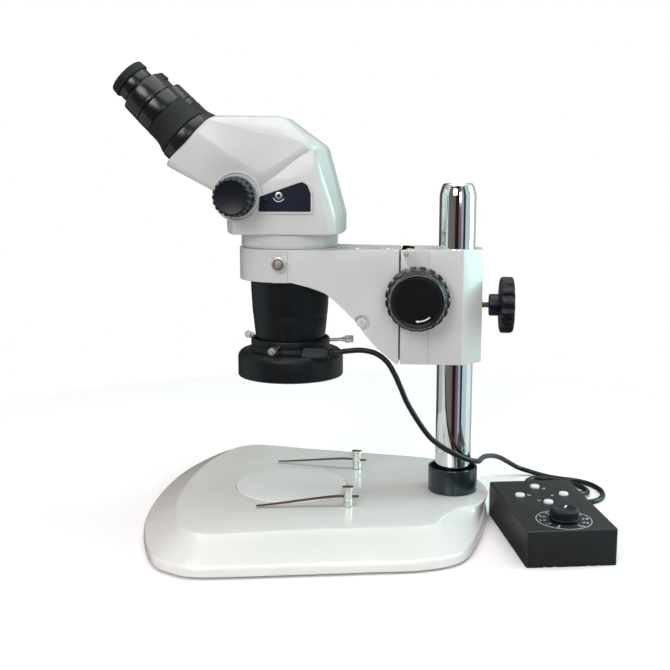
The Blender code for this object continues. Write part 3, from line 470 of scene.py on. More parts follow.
# Cord ------------------------------------
CORD_R = 2.4
CORD_ROUTE = [
    (-111.6, -32.5, 153.8), (-104.0, -32.5, 154.4), (-92.0, -31.0, 155.8), (-81.0, -29.0, 156.0),
    (-69.0, -28.0, 153.0),
    (-59.3, -28.5, 145.6), (-52.5, -29.5, 134.6), (-47.5, -30.5, 123.8), (-40.0, -31.5, 107.5),
    (-25.7, -32.0, 85.4),
    (-15.0, -31.5, 74.4), (1.0, -29.5, 64.4), (15.0, -21.5, 57.0), (23.0, -5.5, 51.6), (26.4, 14.0, 48.0),
    (31.5, 38.0, 43.5), (40.4, 69.0, 35.4), (49.4, 92.0, 27.2), (59.6, 109.5, 17.4), (71.0, 120.5, 8.6),
    (83.0, 122.5, 4.2), (93.5, 116.5, 2.8), (104.0, 109.5, 2.6), (115.5, 104.4, 2.6), (127.5, 100.0, 2.6),
    (138.5, 90.5, 2.6), (145.6, 75.0, 2.6), (146.0, 57.5, 2.6), (139.5, 42.5, 2.6), (126.5, 33.5, 2.6),
    (110.5, 33.5, 2.6), (97.0, 41.5, 2.6), (86.5, 55.0, 2.6), (80.6, 68.5, 2.6), (77.2, 82.0, 2.6),
    (77.6, 94.0, 2.6),
    (82.6, 102.2, 2.6), (90.6, 105.8, 2.6), (99.0, 104.2, 2.6), (106.5, 100.2, 2.6), (114.0, 95.6, 2.6),
    (122.5, 89.5, 2.6), (130.0, 78.0, 2.7), (132.6, 66.0, 3.0), (129.6, 55.6, 4.4), (123.0, 48.4, 6.4),
    (115.0, 45.8, 8.2), (107.0, 45.4, 9.6), (98.8, 42.6, 10.8), (93.2, 36.2, 11.6), (90.4, 28.0, 12.0),
    (90.6, 19.2, 12.0), (92.2, 9.0, 12.0),
]
# Each length of the cord: its first and last point on the route and the two bodies of the joint that it
# crosses; the lengths are built where they lie and ride on no body.
CORD_CUTS = {
    "cord_at_lamp": (0, 3, "head", "arm"),
    "cord_at_arm": (3, 6, "arm", "carriage"),
    "cord_at_block": (6, 9, "carriage", "bush"),
    "cord_to_box": (9, None, "bush", "stand"),
}


def tube_mesh(path, radius, sides=20):
    """A tube along the path, each ring square to it and untwisted from the one before."""
    rings = []
    across = None
    for i, point in enumerate(path):
        along = (path[min(i + 1, len(path) - 1)] - path[max(i - 1, 0)]).normalized()
        if across is None:
            across = along.cross(Vector((0, 0, 1))).normalized()
        across = (across - along * across.dot(along)).normalized()
        up = along.cross(across)
        angles = [TAU * k / sides for k in range(sides)]
        rings.append([point + (across * math.cos(a) + up * math.sin(a)) * radius for a in angles])
    return loft(rings)


def make_cord():
    steps = 6
    route = smooth_through([(PX + x, y, z) for x, y, z in CORD_ROUTE], steps, closed=False)
    for name, (first, last, before, after) in CORD_CUTS.items():
        end = len(route) - 1 if last is None else last * steps
        path = route[first * steps : end + 1]
        piece = add_piece(name.replace("cord", "lead"), tube_mesh(path, CORD_R), CORD)
        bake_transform(piece)
        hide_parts(name)


# Base ------------------------------------
# Half outlines of the base's rim and of its deck, as (x from the pillar, y).
RIM_HALF = [
    (-274, 0), (-270, 60), (-259, 106), (-241, 149), (-221, 166), (-196, 172), (-124, 160.5),
    (-70, 151), (-24, 142), (6, 122), (21, 76), (28, 36), (31.5, 0),
]
DECK_HALF = [
    (-246.5, 0), (-243.5, 52), (-236, 86), (-225, 116), (-209, 131), (-187, 131.5), (-130, 118),
    (-75, 108), (-21, 97), (-8, 74), (4, 52), (21, 38), (30.5, 0),
]
FEET = {
    "foot_front_left": (-205, 112), "foot_front_right": (-205, -112), "foot_rear_left": (-32, 80),
    "foot_rear_right": (-32, -80),
}
CLIP_X, CLIP_Y = OX + 56.8, 56.0


def mirrored(half):
    return half + [(x, -y) for x, y in reversed(half[1:-1])]


def inset(outline, distance):
    """The outline moved inwards, each point along its own normal."""
    centre = sum((Vector(p[:2]) for p in outline), Vector((0, 0))) / len(outline)
    out = []
    for i, p in enumerate(outline):
        along = Vector(outline[(i + 1) % len(outline)][:2]) - Vector(outline[i - 1][:2])
        normal = Vector((-along.y, along.x)).normalized()
        if normal.dot(centre - Vector(p[:2])) < 0:
            normal = -normal
        out.append(Vector(p[:2]) + normal * distance)
    return out


def level(outline, z, shift=PX):
    return [(p[0] + shift, p[1], z) for p in outline]


def between(first, second, share):
    return [a.lerp(b, share) for a, b in zip(first, second)]


def make_base():
    rim = smooth_through(mirrored(RIM_HALF), 8)
    deck = smooth_through(mirrored(DECK_HALF), 8)
    rings = [level(inset(rim, d), z) for d, z in (
        (2.0, 2.0), (0.9, 2.2), (0.3, 2.8), (0.0, 4.0), (0.3, 7.8), (0.7, 9.2), (1.3, 10.0), (2.2, 10.6), (
            3.2, 11.0
        )
    )]
    low, high = inset(rim, 3.2), inset(deck, -1.8)
    rings += [level(between(low, high, t), 11.0 + (21.6 - 11.0) * t) for t in (0.25, 0.5, 0.75, 1.0)]
    rings += [level(inset(deck, d), z) for d, z in ((-0.9, 22.1), (0.0, 22.55), (1.0, 22.85), (2.2, 23.0))]
    base = add_object("base_casting", loft(rings))
    hollow = [
        level(inset(rim, 6.0), 1.0), level(inset(rim, 7.0), 7.0),
        level(inset(between(rim, deck, 0.5), 4.0), 14.0)
    ]
    cut(base, loft(hollow))
    for x, y in FEET.values():
        fill(base, rod(11.0, 4.0, 16.0), move(PX + x, y, 0))
    fill(base, rod(26.0, 3.0, 16.0, 64), move(PX, 0, 0))
    cut(base, rod(16.3, 12.0, 40.0, 64), move(PX, 0, 0))
    recess = turned([(0, 19), (51.45, 19), (51.45, 22.5), (52.0, 23.05), (52.0, 40), (0, 40)], 128)
    cut(base, recess, move(OX, 0, 0))
    for side in (1, -1):
        cut(
            base, turned([(0, 15.5), (2.5, 15.5), (2.5, 22.4), (3.2, 23.1), (3.2, 40), (0, 40)], 32),
            move(CLIP_X, side * CLIP_Y, 0)
        )
    stands_for(dress(base, BASE_WHITE, 24), "stand", "base_casting")
    plate = eased([(0, 19.3), (51.15, 19.3), (51.15, 23.5), (0, 23.5)], 0.7, 4)
    turned_piece("stage_disc", plate, 160, STAGE, move(OX, 0, 0), "stand", "stage_plate")
    for name, (x, y) in FEET.items():
        pad = [(0, 0.5), (6.0, 0.5), (6.6, 0), (8.2, 0), (9.0, 0.9), (9.0, 3.7), (0, 3.7)]
        turned_piece(
            name.replace("foot", "pad"), pad, 64, RUBBER, move(PX + x, y, 0), "stand", name, ease=0.3
        )


def make_pillar():
    profile = [
        (11.5, 12.3), (16, 12.3), (16, 289.0), (15.7, 291.6), (14.0, 297.4), (12.9, 299.4), (12.0, 300),
        (9.0, 300),
        (8.6, 298.6), (0, 298.6), (0, 294), (11.5, 294),
    ]
    tube = add_piece("pillar_tube", turned(eased(profile, 0.5), 160), CHROME, move(PX, 0, 0))
    stands_for(tube, "stand", "pillar")
    collar = [(16.3, 23.3), (22.1, 23.3), (22.1, 45.5), (20.1, 45.5), (20.1, 27.8), (16.3, 27.8)]
    turned_piece("collar_ring", collar, 128, COLLAR, move(PX, 0, 0), "stand", "pillar_collar", ease=0.6)


# Stage clips -----------------------------
LEAF_Z = 32.0
# The spring leaf, as (x from its post, z, half width).
LEAF = [
    (-9.5, LEAF_Z - 0.2, 1.8), (-4.0, LEAF_Z - 0.1, 1.9), (4.5, LEAF_Z + 0.1, 1.9), (14.0, LEAF_Z, 2.2),
    (30.0, LEAF_Z - 1.7, 2.1), (46.0, LEAF_Z - 3.6, 1.9), (62.0, LEAF_Z - 5.5, 1.7),
    (74.0, LEAF_Z - 6.8, 1.5),
    (79.5, LEAF_Z - 7.0, 1.3),
]


def make_clips():
    for side, hand in ((1, "left"), (-1, "right")):
        place = move(CLIP_X, side * CLIP_Y, 0) @ turn("Z", 180 - side * 8)
        profile = [
            (0, 16.0), (2.2, 16.0), (2.2, 23.3), (4.2, 23.3), (4.2, 29.2), (3.7, 29.6), (3.7, 30.6),
            (4.2, 31.0),
            (4.2, 37.4), (4.7, 37.9), (4.7, 40.2), (4.0, 40.6), (0, 40.6),
        ]
        post = add_object(f"post_{hand}", turned(eased(profile, 0.35), 64), place)
        cut(post, box_mesh((14, 4.2, 2.1), (0, 0, LEAF_Z)), place)
        stands_for(dress(post, NICKEL), f"clip_{hand}", f"clip_post_{hand}")
        rings = []
        for x, z, half in smooth_through(LEAF, 8, closed=False):
            thick = 0.7 * (1 - 0.3 * max(0.0, x) / 79.5)
            section = [
                (-half, -0.8), (-half, 0.7), (-half * 0.6, 0.95), (0, 1.05), (half * 0.6, 0.95), (half, 0.7),
                (half, -0.8), (half * 0.6, -1.0), (-half * 0.6, -1.0),
            ]
            rings.append([(x, y, z + dz * thick) for y, dz in section])
        leaf = add_piece(f"leaf_{hand}", loft(rings), CLIP_PAINTED_REFLECTION, place, 40)
        stands_for(leaf, f"clip_{hand}", f"stage_clip_{hand}")
        cap = loft([circle(r, z, 48) for r, z in ((1.6, 40.5), (2.0, 40.6), (2.1, 41.1), (1.7, 41.4))])
        bmesh.ops.scale(cap, vec=(2.4, 1.0, 1.0), verts=cap.verts)
        stands_for(add_piece(f"clip_cap_{hand}", cap, CLIP_PAINTED_REFLECTION, place), f"clip_{hand}")
        bow = [Vector(p) for p in ((3.2, 0.0, 39.8), (5.4, 0.0, 38.0), (6.6, 0.0, 35.0), (7.0, 0.0, 32.6))]
        strut = tube_mesh(bow, 0.45, 10)
        stands_for(add_piece(f"strut_{hand}", strut, NICKEL, place), f"clip_{hand}")


# Carriage --------------------------------
def make_block():
    y = BLOCK_Y
    outline = [
        (22.5, -11.0, 1.0), (22.5, 11.0, 1.0), (5.0, y, 1.0), (-23.7, y, 0.2), (-23.9, y - 0.7, 0),
        (-24.7, y - 0.7, 0),
        (-24.9, y, 0.2), (-48.6, y, 0.8), (-48.6, 11.6, 0.5), (-38.0, 11.6, 0.4), (-38.0, -11.6, 0.4),
        (-48.6, -11.6, 0.5),
        (-48.6, -y, 0.8), (-24.9, -y, 0.2), (-24.7, 0.7 - y, 0), (-23.9, 0.7 - y, 0), (-23.7, -y, 0.2),
        (5.0, -y, 1.0),
    ]
    points = rounded(outline, 4)
    low, high = BLOCK_LOW, BLOCK_HIGH
    rings = [level(inset(points, d), z) for d, z in (
        (0.8, low), (0.25, low + 0.25), (0.0, low + 0.8), (0.0, high - 0.8), (0.25, high - 0.25), (0.8, high)
    )]
    block = add_object("block_casting", loft(rings))
    cut(
        block, turned([(0, 100), (18.2, 100), (18.2, 242.9), (19.0, 243.8), (19, 300), (0, 300)], 96),
        move(PX, 0, 0)
    )
    axle = move(PX - AXLE_X, 0, AXLE_Z) @ turn("X", 90)
    cut(block, rod(7.5, -11.3, 11.3), axle)
    cut(block, rod(4.3, -40, 40), axle)
    cut(block, rod(3.3, 0, 40), move(PX, 0, STUD_Z) @ turn("Y", 90))
    cut(
        block, turned([(0, -2.6), (2.0, -2.6), (2.0, 2.0), (0, 2.0)], 32),
        move(PX - 43.7, -y, 239.8) @ turn("X", 90)
    )
    stands_for(dress(block, WHITE, 25), "carriage", "focus_block")
    screw = socket_screw(1.75, 1.6, 0.9)
    stands_for(
        add_piece("gib_screw", screw, NICKEL, move(PX - 43.7, 0.4 - y, 239.8) @ turn("X", 90)), "carriage"
    )
    bush = add_object(
        "bush_sleeve", turned(eased([(16.2, 146.0), (17.9, 146.0), (17.9, 241.7), (16.2, 241.7)], 0.3), 96),
        move(PX, 0, 0)
    )
    cut(bush, box_mesh((12, 2.0, 200), (PX - 17.9, 0, 194.6)))
    stands_for(dress(bush, BRASS), "bush", "pillar_bush")


def socket_screw(radius, depth, key):
    """A screw head whose top is at z = 0, with a hexagonal socket."""
    profile = eased([(0, -depth), (radius, -depth), (radius, 0), (0, 0)], radius * 0.15)
    screw = add_object("screw", turned(profile, 40))
    cut(screw, rod(key, -depth * 0.6, 1.0, 6))
    mesh = bmesh.new()
    mesh.from_mesh(screw.data)
    bmesh.ops.scale(mesh, vec=(1 / MM,) * 3, verts=mesh.verts)
    bpy.data.objects.remove(screw)
    return mesh


def make_clamp():
    place = move(PX, 0, STUD_Z) @ turn("Y", 90)
    threads = [(0, 20.7)] + [(2.5 - 0.28 * (i % 2), 20.7 + 0.4 * i) for i in range(51)] + [(0, 41.0)]
    turned_piece("clamp_stud", threads, 40, BRASS, place, "clamp", "clamp_screw")
    flutes = scallops(14, 2.3, 1.6)
    profile = [
        (2.8, 29.0), (8.6, 29.0), (9.5, 29.6), (9.7, 30.6), (9.6, 37.6), (10.6, 38.3), (22.4, 38.4),
        (23.8, 38.9),
        (24.7, 39.8, flutes), (25.0, 41.0, flutes), (25.0, 47.5, flutes), (24.7, 48.9, flutes),
        (23.8, 49.9, flutes), (22.2, 50.3),
        (14.0, 50.3), (13.4, 49.7), (0, 49.3), (0, 41.4), (2.8, 41.4),
    ]
    turned_piece("clamp_grip", profile, 224, BLUE_BLACK, place, "clamp", "clamp_knob", sharp=40)


def blocks(count, depth, phase=0.0, share=0.62):
    """A turned edge of raised blocks with gaps between them."""
    def wave(angle):
        t = (angle * count / TAU + phase) % 1.0
        edge = min(abs(t - 0.5), 0.5)
        return 0.0 if edge < share / 2 else depth * min(1.0, (edge - share / 2) / 0.07)
    return wave


def make_focus_knobs():
    row1, row2 = blocks(20, 1.7), blocks(20, 1.5, 0.5)
    profile = [
        (4.3, 31.2), (24.6, 31.2), (25.6, 31.7), (26.0, 32.4), (26.1, 34.0), (27.3, 34.3, row1),
        (27.8, 34.9, row1),
        (27.8, 42.2, row1), (27.3, 42.8, row1), (26.0, 43.2), (25.2, 43.8), (26.0, 44.4, row2),
        (26.5, 45.0, row2),
        (26.0, 51.6, row2), (25.4, 52.2, row2), (24.7, 52.6), (24.2, 54.6), (23.4, 58.4), (22.9, 60.4),
        (22.4, 61.3),
        (21.8, 61.7), (21.1, 61.6), (20.6, 61.0), (20.2, 60.1), (19.6, 59.7), (0, 59.7), (0, 42.0),
        (4.3, 42.0),
    ]
    for hand, sign in (("right", 1), ("left", -1)):
        place = move(PX - AXLE_X, 0, AXLE_Z) @ turn("X", sign * 90)
        turned_piece(
            f"knob_{hand}", profile, 320, GLOSS, place, "focus_drive", f"focus_knob_{hand}", sharp=28
        )
        arrow = arc_arrow(16.4, -50, -95, 0.5, sign)
        stands_for(add_piece(f"knob_arrow_{hand}", arrow, PRINT, place @ move(0, 0, 59.7)), "focus_drive")


def arc_arrow(radius, start, end, half, sign=1):
    """A thin raised arrow along an arc, its head at the end."""
    rings = []
    steps = 24
    head = end + (8 if end < start else -8)
    stops = [
        (start + (head - start) * i / steps, half) for i in range(steps + 1)
    ] + [(head, half * 2.6), (end, 0.08)]
    for angle, width in stops:
        a = math.radians(angle)
        c, s = math.cos(a), sign * math.sin(a)
        near, far = radius - width, radius + width
        rings.append([(c * r, s * r, z) for r, z in ((near, -0.1), (far, -0.1), (far, 0.09), (near, 0.09))])
    return loft(rings)


# Arm -------------------------------------
LOCK_Z, LOCK_TURN = 233.1, -3.3
BOLT_X, BOLT_Z = -81.6, 181.0
ARM_TAPER = 0.1703  # how fast each side of the arm spreads towards the ring holder


def arm_half(x):
    return BLOCK_Y + ARM_TAPER * (-49.9 - x)


def make_arm():
    low, high = 216.0, BLOCK_HIGH
    outline = rounded([
        (-141.0, high, 0), (-141.0, low, 0), (-127.7, 212.5, 8), (-118.0, 209.0, 12), (-112.2, 206.4, 10),
        (-105.9, 201.0, 14), (-96.0, 191.6, 30), (-88.8, 184.0, 20), (-79.5, 171.5, 20), (-69.9, 159.8, 20),
        (-60.0, 151.2, 12), (-52.0, 144.0, 3), (-49.9, 144.0, 0.5), (-49.9, high, 0.8),
    ], 6)
    arm = add_object("arm", loft([[(PX + x, side * arm_half(x), z) for x, z in outline] for side in (-1, 1)]))
    bevel(arm, 0.9, 3, 50)
    holder = eased([(0, low), (44.6, low), (44.6, 244.5), (0, 244.5)], 1.2, 4)
    fill(arm, turned(holder, 144), move(OX, 0, 0))
    fill(arm, box_mesh((11.6, 22.0, 98.5), (PX - 48.1, 0, 193.85)))
    fill(arm, box_mesh((5.0, 21.4, 9.4), (PX - 40.8, 0, 238.4)))
    lock = move(OX, 0, LOCK_Z) @ turn("Z", LOCK_TURN)
    fill(arm, box_mesh((12.6, 8.0, 27.4), (0, -41.4, -3.2)), lock)
    cut(arm, rod(3.3, 20, 70), lock @ turn("X", 90))
    for side in (1, -1):
        seat = move(PX + BOLT_X, side * arm_half(BOLT_X), BOLT_Z) @ turn(
            "Z", -side * math.degrees(math.atan(ARM_TAPER))
        )
        cut(arm, rod(6.9, -3, 3, 64), seat @ turn("X", 90))
        bolt = seat @ turn("X", -side * 90) @ move(0, 0, -1.2)
        stands_for(add_piece(f"arm_bolt_{side + 2}", socket_screw(4.4, 1.9, 1.9), WHITE, bolt), "arm")
    cut(arm, turned([(0, 100), (38.2, 100), (38.2, 300), (0, 300)], 128), move(OX, 0, 0))
    stands_for(dress(arm, WHITE, 25), "arm", "focus_arm")
    for i, (x, body) in enumerate(((-87.0, "arm"), (-71.0, "arm"), (-60.0, "arm"), (-41.6, "carriage"))):
        finish = NICKEL if i in (0, 2) else BRASS
        stands_for(
            add_piece(f"top_screw_{i + 1}", socket_screw(3.1, 1.6, 1.3), finish, move(PX + x, -14.0, 244.3)),
            body
        )
    head = [(0, 38.4), (3.0, 38.4), (3.0, 45.6), (5.8, 45.6), (5.8, 53.4), (0, 53.4)]
    turned_piece(
        "lock_screw", head, 64, NICKEL, lock @ turn("X", 90), "head_lock", "head_lock_screw", ease=0.6
    )
    ring = turned(eased([(3.3, 53.2), (4.3, 53.2), (4.3, 53.7), (3.3, 53.7)], 0.1), 48)
    stands_for(add_piece("lock_screw_face", ring, STEEL_PAINTED_REFLECTION, lock @ turn("X", 90)), "head_lock")


# Head ------------------------------------
def hull(points, name):
    bm = bmesh.new()
    for x, y, z in points:
        for side in (1, -1):
            bm.verts.new((PX + x, side * y, z))
    made = bmesh.ops.convex_hull(bm, input=bm.verts)
    inner = [v for v in made["geom_interior"] if isinstance(v, bmesh.types.BMVert)]
    bmesh.ops.delete(bm, geom=inner, context="VERTS")
    bmesh.ops.dissolve_limit(bm, angle_limit=math.radians(1.5), verts=bm.verts, edges=bm.edges)
    return add_object(name, bm)


FACE = EYE_Z + EYE_X  # the sloping face is the plane z - x = FACE
# Corners of the head's tube housing and of its lower body, on both sides, as (x from the pillar, y, z).
POD = [
    (315.4 - FACE, 42, 315.4), (319.4 - FACE, 50.5, 319.4), (345.0 - FACE, 52, 345.0),
    (354.0 - FACE, 48.5, 354.0),
    (357.0 - FACE, 38, 357.0), (-150, 26, 357.0), (-153, 40, 346.0), (-124.3, 40, 332.5), (-113.8, 20, 330.7),
    (-110.5, 18, 308.0), (-116, 24, 322),
    (-167, 51, 306.0), (-206, 50, 293.6), (-190, 47, 287), (-180, 46, 287),
]
LOWER = [
    (-200.5, 20, 257), (-196.5, 36, 257), (-191, 46, 257), (-110, 46.8, 257), (-103.1, 42, 257),
    (-99.3, 20, 257),
    (-200.5, 20, 271), (-196.5, 36, 271), (-191, 46, 271), (-110, 46.8, 272), (-103.6, 42, 273.5),
    (-98.9, 20, 273.5),
    (-117.8, 44, 306.4), (-110.8, 18, 308), (-122, 39, 330), (-114.3, 19, 330.5), (-186, 45, 300),
    (-200, 30, 290),
]
# The side panel, as (x from the pillar, z, corner radius).
PANEL = [
    (-168.0, 277.0, 1.0), (-124.0, 277.0, 1.0), (-124.0, 292.0, 4.0), (-126.8, 299.0, 3.0),
    (-131.0, 301.4, 3.0),
    (-136.0, 300.0, 4.0), (-166.8, 289.2, 0.6),
]


def panel_outline(grow=0.0, steps=8):
    points = rounded(PANEL, steps)
    return [(PX + p.x, p.y) for p in inset(points, -grow)]


def make_head():
    shell = bevel(hull(POD, "head_casting"), 4.6, 5, 10)
    combine(shell, "UNION", bevel(hull(LOWER, "lower"), 2.2, 4, 10))
    cut(shell, turned([(0, 200), (37, 200), (37, 300), (0, 300)], 96), move(OX, 0, 0))
    for side in (1, -1):
        outward = move(PX - ZOOM_X, 0, ZOOM_Z) @ turn("X", -side * 90)
        boss = [(0, 40.0), (21.0, 40.0), (21.0, 51.6), (19.6, 51.6), (19.2, 50.9), (0, 50.9)]
        fill(shell, turned(eased(boss, 0.35), 96), outward)
        fill(shell, side_prism(panel_outline(1.7), side * 38.0, side * 48.6))
        cut(shell, side_prism(panel_outline(0.3), side * 47.4, side * 60.0))
        cut(shell, rod(3.4, -80, 80), outward)
        socket = eye_frame(side) @ move(-11.0, 0, 0)
        cut(shell, rod(10.0, -8.5, 40, 64), socket)
    stands_for(dress(shell, WHITE, 22), "head", "head_shell")
    for side, hand in ((-1, "right"), (1, "left")):
        plate = add_object(f"panel_{hand}", side_prism(panel_outline(0.05), side * 47.3, side * 48.1))
        stands_for(dress(plate, NAVY), "head", *(["side_panel"] if side < 0 else []))
    face = move(PX - 150.9, -48.1, 290.2) @ turn("X", 90)
    stands_for(add_piece("panel_screw", socket_screw(3.1, 1.0, 1.6), NICKEL, face @ move(0, 0, 0.55)), "head")
    stands_for(add_piece("panel_mark", arc_arrow(4.9, 200, 330, 0.28), PRINT, face), "head")
    pointer = side_prism([(PX - 160.4, 284.2), (PX - 160.4, 288.2), (PX - 165.2, 286.4)], -51.0, -45.0)
    stands_for(dress(bevel(add_object("zoom_pointer", pointer), 0.3, 2), SATIN), "head")
    low = 244.8
    flange = [
        (29.0, 218.0), (38.0, 218.0), (38.0, low), (42.4, low), (42.4, 246.2), (42.9, 246.8), (42.9, 256.7),
        (36.6, 256.7),
        (36.6, 262.0), (29.0, 262.0),
    ]
    turned_piece("flange_ring", flange, 144, WHITE, move(OX, 0, 0), "head", "head_flange", ease=0.35)


def make_nosepiece():
    profile = [
        (30.0, 217.6), (35.2, 217.6), (35.2, 212.0), (34.9, 205.0), (34.1, 190.0), (33.6, 184.0),
        (33.2, 183.6), (33.2, 183.0),
        (33.3, 182.4), (32.3, 172.0), (31.4, 164.6), (31.2, 163.2), (31.2, 153.0), (30.4, 152.2),
        (27.5, 152.2), (26.0, 172.0),
        (29.6, 185.0), (30.0, 190.0),
    ]
    turned_piece("nose_cone", profile, 144, SATIN, move(OX, 0, 0), "head", "nosepiece", ease=0.3)
    arc = [(26.2 * i / 10, 172.3 + 1.2 * (1 - (i / 10) ** 2)) for i in range(11)]
    top = [(26.6 * (1 - i / 10), 179.4 - 3.0 * (1 - i / 10) ** 2) for i in range(11)]
    stands_for(
        add_piece("front_lens", turned(arc + top, 96), GLASS, move(OX, 0, 0)), "head", "objective_lens"
    )


def make_zoom_knobs():
    grip = scallops(20, 1.2, 1.3)
    profile = [
        (3.3, 52.0), (14.0, 52.0), (16.5, 52.3), (16.9, 53.0), (16.9, 60.0), (16.5, 60.5), (15.8, 60.7),
        (15.7, 61.2),
        (16.1, 61.6, grip), (16.4, 62.4, grip), (16.1, 75.0, grip), (15.7, 76.2, grip), (14.8, 76.9, grip),
        (13.6, 77.0),
        (12.8, 76.7), (0, 76.7), (0, 65.0), (3.3, 65.0),
    ]
    for hand, sign in (("right", 1), ("left", -1)):
        place = move(PX - ZOOM_X, 0, ZOOM_Z) @ turn("X", sign * 90)
        turned_piece(
            f"zoom_grip_{hand}", profile, 312, BLUE_BLACK, place, "zoom", f"zoom_knob_{hand}", sharp=35
        )
        marks = bmesh.new()
        for i in range(34):
            tall = i % 4 == 0
            tick = box_mesh((0.3, 0.8, 4.6 if tall else 2.6), (16.9, 0, 57.0 if tall else 58.0))
            bmesh.ops.transform(tick, matrix=turn("Z", -150 + i * 9), verts=tick.verts)
            absorb(marks, tick)
        stands_for(add_piece(f"zoom_scale_{hand}", marks, PRINT, place), "zoom")


def absorb(bm, other):
    """Moves another mesh's faces into this one."""
    mesh = bpy.data.meshes.new("part")
    other.to_mesh(mesh)
    other.free()
    bm.from_mesh(mesh)
    bpy.data.meshes.remove(mesh)


# Eyepieces -------------------------------
SET_IN = {"left": 6.0, "right": 0.0}  # how far each tube is set in


def eye_frame(side):
    """Z outwards along the eyepiece from the head's sloping face, X away from the pivot."""
    return move(PX - EYE_X, side * EYE_Y, EYE_Z) @ turn("Y", -45)


def make_eyepieces():
    for side, hand in ((1, "left"), (-1, "right")):
        place = eye_frame(side)
        top = 44.0 - SET_IN[hand]
        seat = place @ move(0, 0, top)
        barrel = [
            (0, 0.4), (24.7, 0.4), (24.7, 8.6), (23.4, 8.9), (23.2, 9.3), (20.0, 9.5), (20.0, 31.2),
            (20.7, 31.5),
            (20.7, top - 0.2), (15.9, top), (15.9, 17.4), (11.6, 12.0), (0, 12.0),
        ]
        tube = add_object(f"tube_{hand}", turned(eased(barrel, 0.4), 144), place)
        fill(tube, rod(9.2, -7.5, 2.0, 64), place @ move(-11.0, 0, 0))
        stands_for(dress(tube, GLOSS, 28), f"tube_{hand}", f"eyetube_{hand}")
        boot = [
            (20.1, 9.6), (23.6, 9.6), (24.0, 10.0), (24.0, 10.8), (23.5, 12.6), (22.6, 14.8), (21.8, 17.0),
            (21.3, 19.2),
            (21.0, 21.6), (20.9, 26.0), (21.0, 30.2), (20.8, 30.8), (20.1, 31.0),
        ]
        turned_piece(f"tube_boot_{hand}", boot, 144, BOOT, place, f"tube_{hand}", ease=0.3)
        screw = place @ turn("Z", -side * 103) @ move(20.4, 0, top - 6.2) @ turn("Y", 90)
        pin = turned(eased([(0, 0), (2.3, 0), (2.3, 1.5), (1.3, 1.7), (0, 1.4)], 0.3), 40)
        stands_for(add_piece(f"tube_screw_{hand}", pin, GLOSS, screw), f"tube_{hand}")
        ring = [
            (15.9, 0.4), (19.9, 0.4), (20.4, 0.8), (20.5, 1.6), (20.45, 3.2), (20.1, 3.5), (20.4, 3.8),
            (20.0, 15.2),
            (19.7, 16.2), (19.0, 16.6), (15.0, 16.6), (14.6, 6.0), (15.9, 6.0),
        ]
        turned_piece(
            f"dioptre_{hand}", ring, 144, GLOSS, seat, f"dioptre_{hand}", f"diopter_ring_{hand}", ease=0.25
        )
        piece = [
            (12.4, -18.0), (15.0, -18.0), (15.0, 3.4), (14.1, 4.2), (14.3, 18.9), (15.6, 18.9), (15.6, 26.2),
            (14.0, 26.2),
            (14.0, 30.8), (11.0, 30.8), (11.0, 22.0), (12.4, 20.0),
        ]
        turned_piece(
            f"ocular_{hand}", piece, 128, GLOSS, seat, f"ocular_{hand}", f"eyepiece_{hand}", ease=0.25
        )
        cup = [
            (14.3, 26.5), (16.3, 26.5), (17.0, 27.0), (17.3, 27.9), (17.1, 28.8), (16.8, 29.4), (16.9, 30.2),
            (16.7, 33.2),
            (16.2, 34.1), (15.4, 34.5), (14.2, 34.2), (12.9, 33.2), (12.1, 32.0), (12.0, 31.1), (14.3, 31.1),
        ]
        turned_piece(f"cup_{hand}", cup, 128, RUBBER, seat, f"ocular_{hand}", f"eyecup_{hand}", ease=0.25)
        lens = [(10.9 * i / 8, 25.6 + 1.4 * (1 - (i / 8) ** 2)) for i in range(9)] + [(10.9, 23.4), (0, 23.4)]
        turned_piece(f"eye_lens_{hand}", lens, 96, GLASS, seat, f"ocular_{hand}")


# Ring light ------------------------------
THUMB_Z = 158.4
THUMBS = {"front": 143, "near": 261, "rear": 16}
# Corners of the block on the housing that the cord comes out of.
BOSS = [
    (15, -30, 146), (12, -40, 146), (38, -25, 146), (38.5, -39, 146), (17, -30, 158.6), (16, -36, 158.6),
    (38, -27, 158.6), (38.5, -37, 158.6), (14, -40, 151), (38.5, -39.5, 151),
]


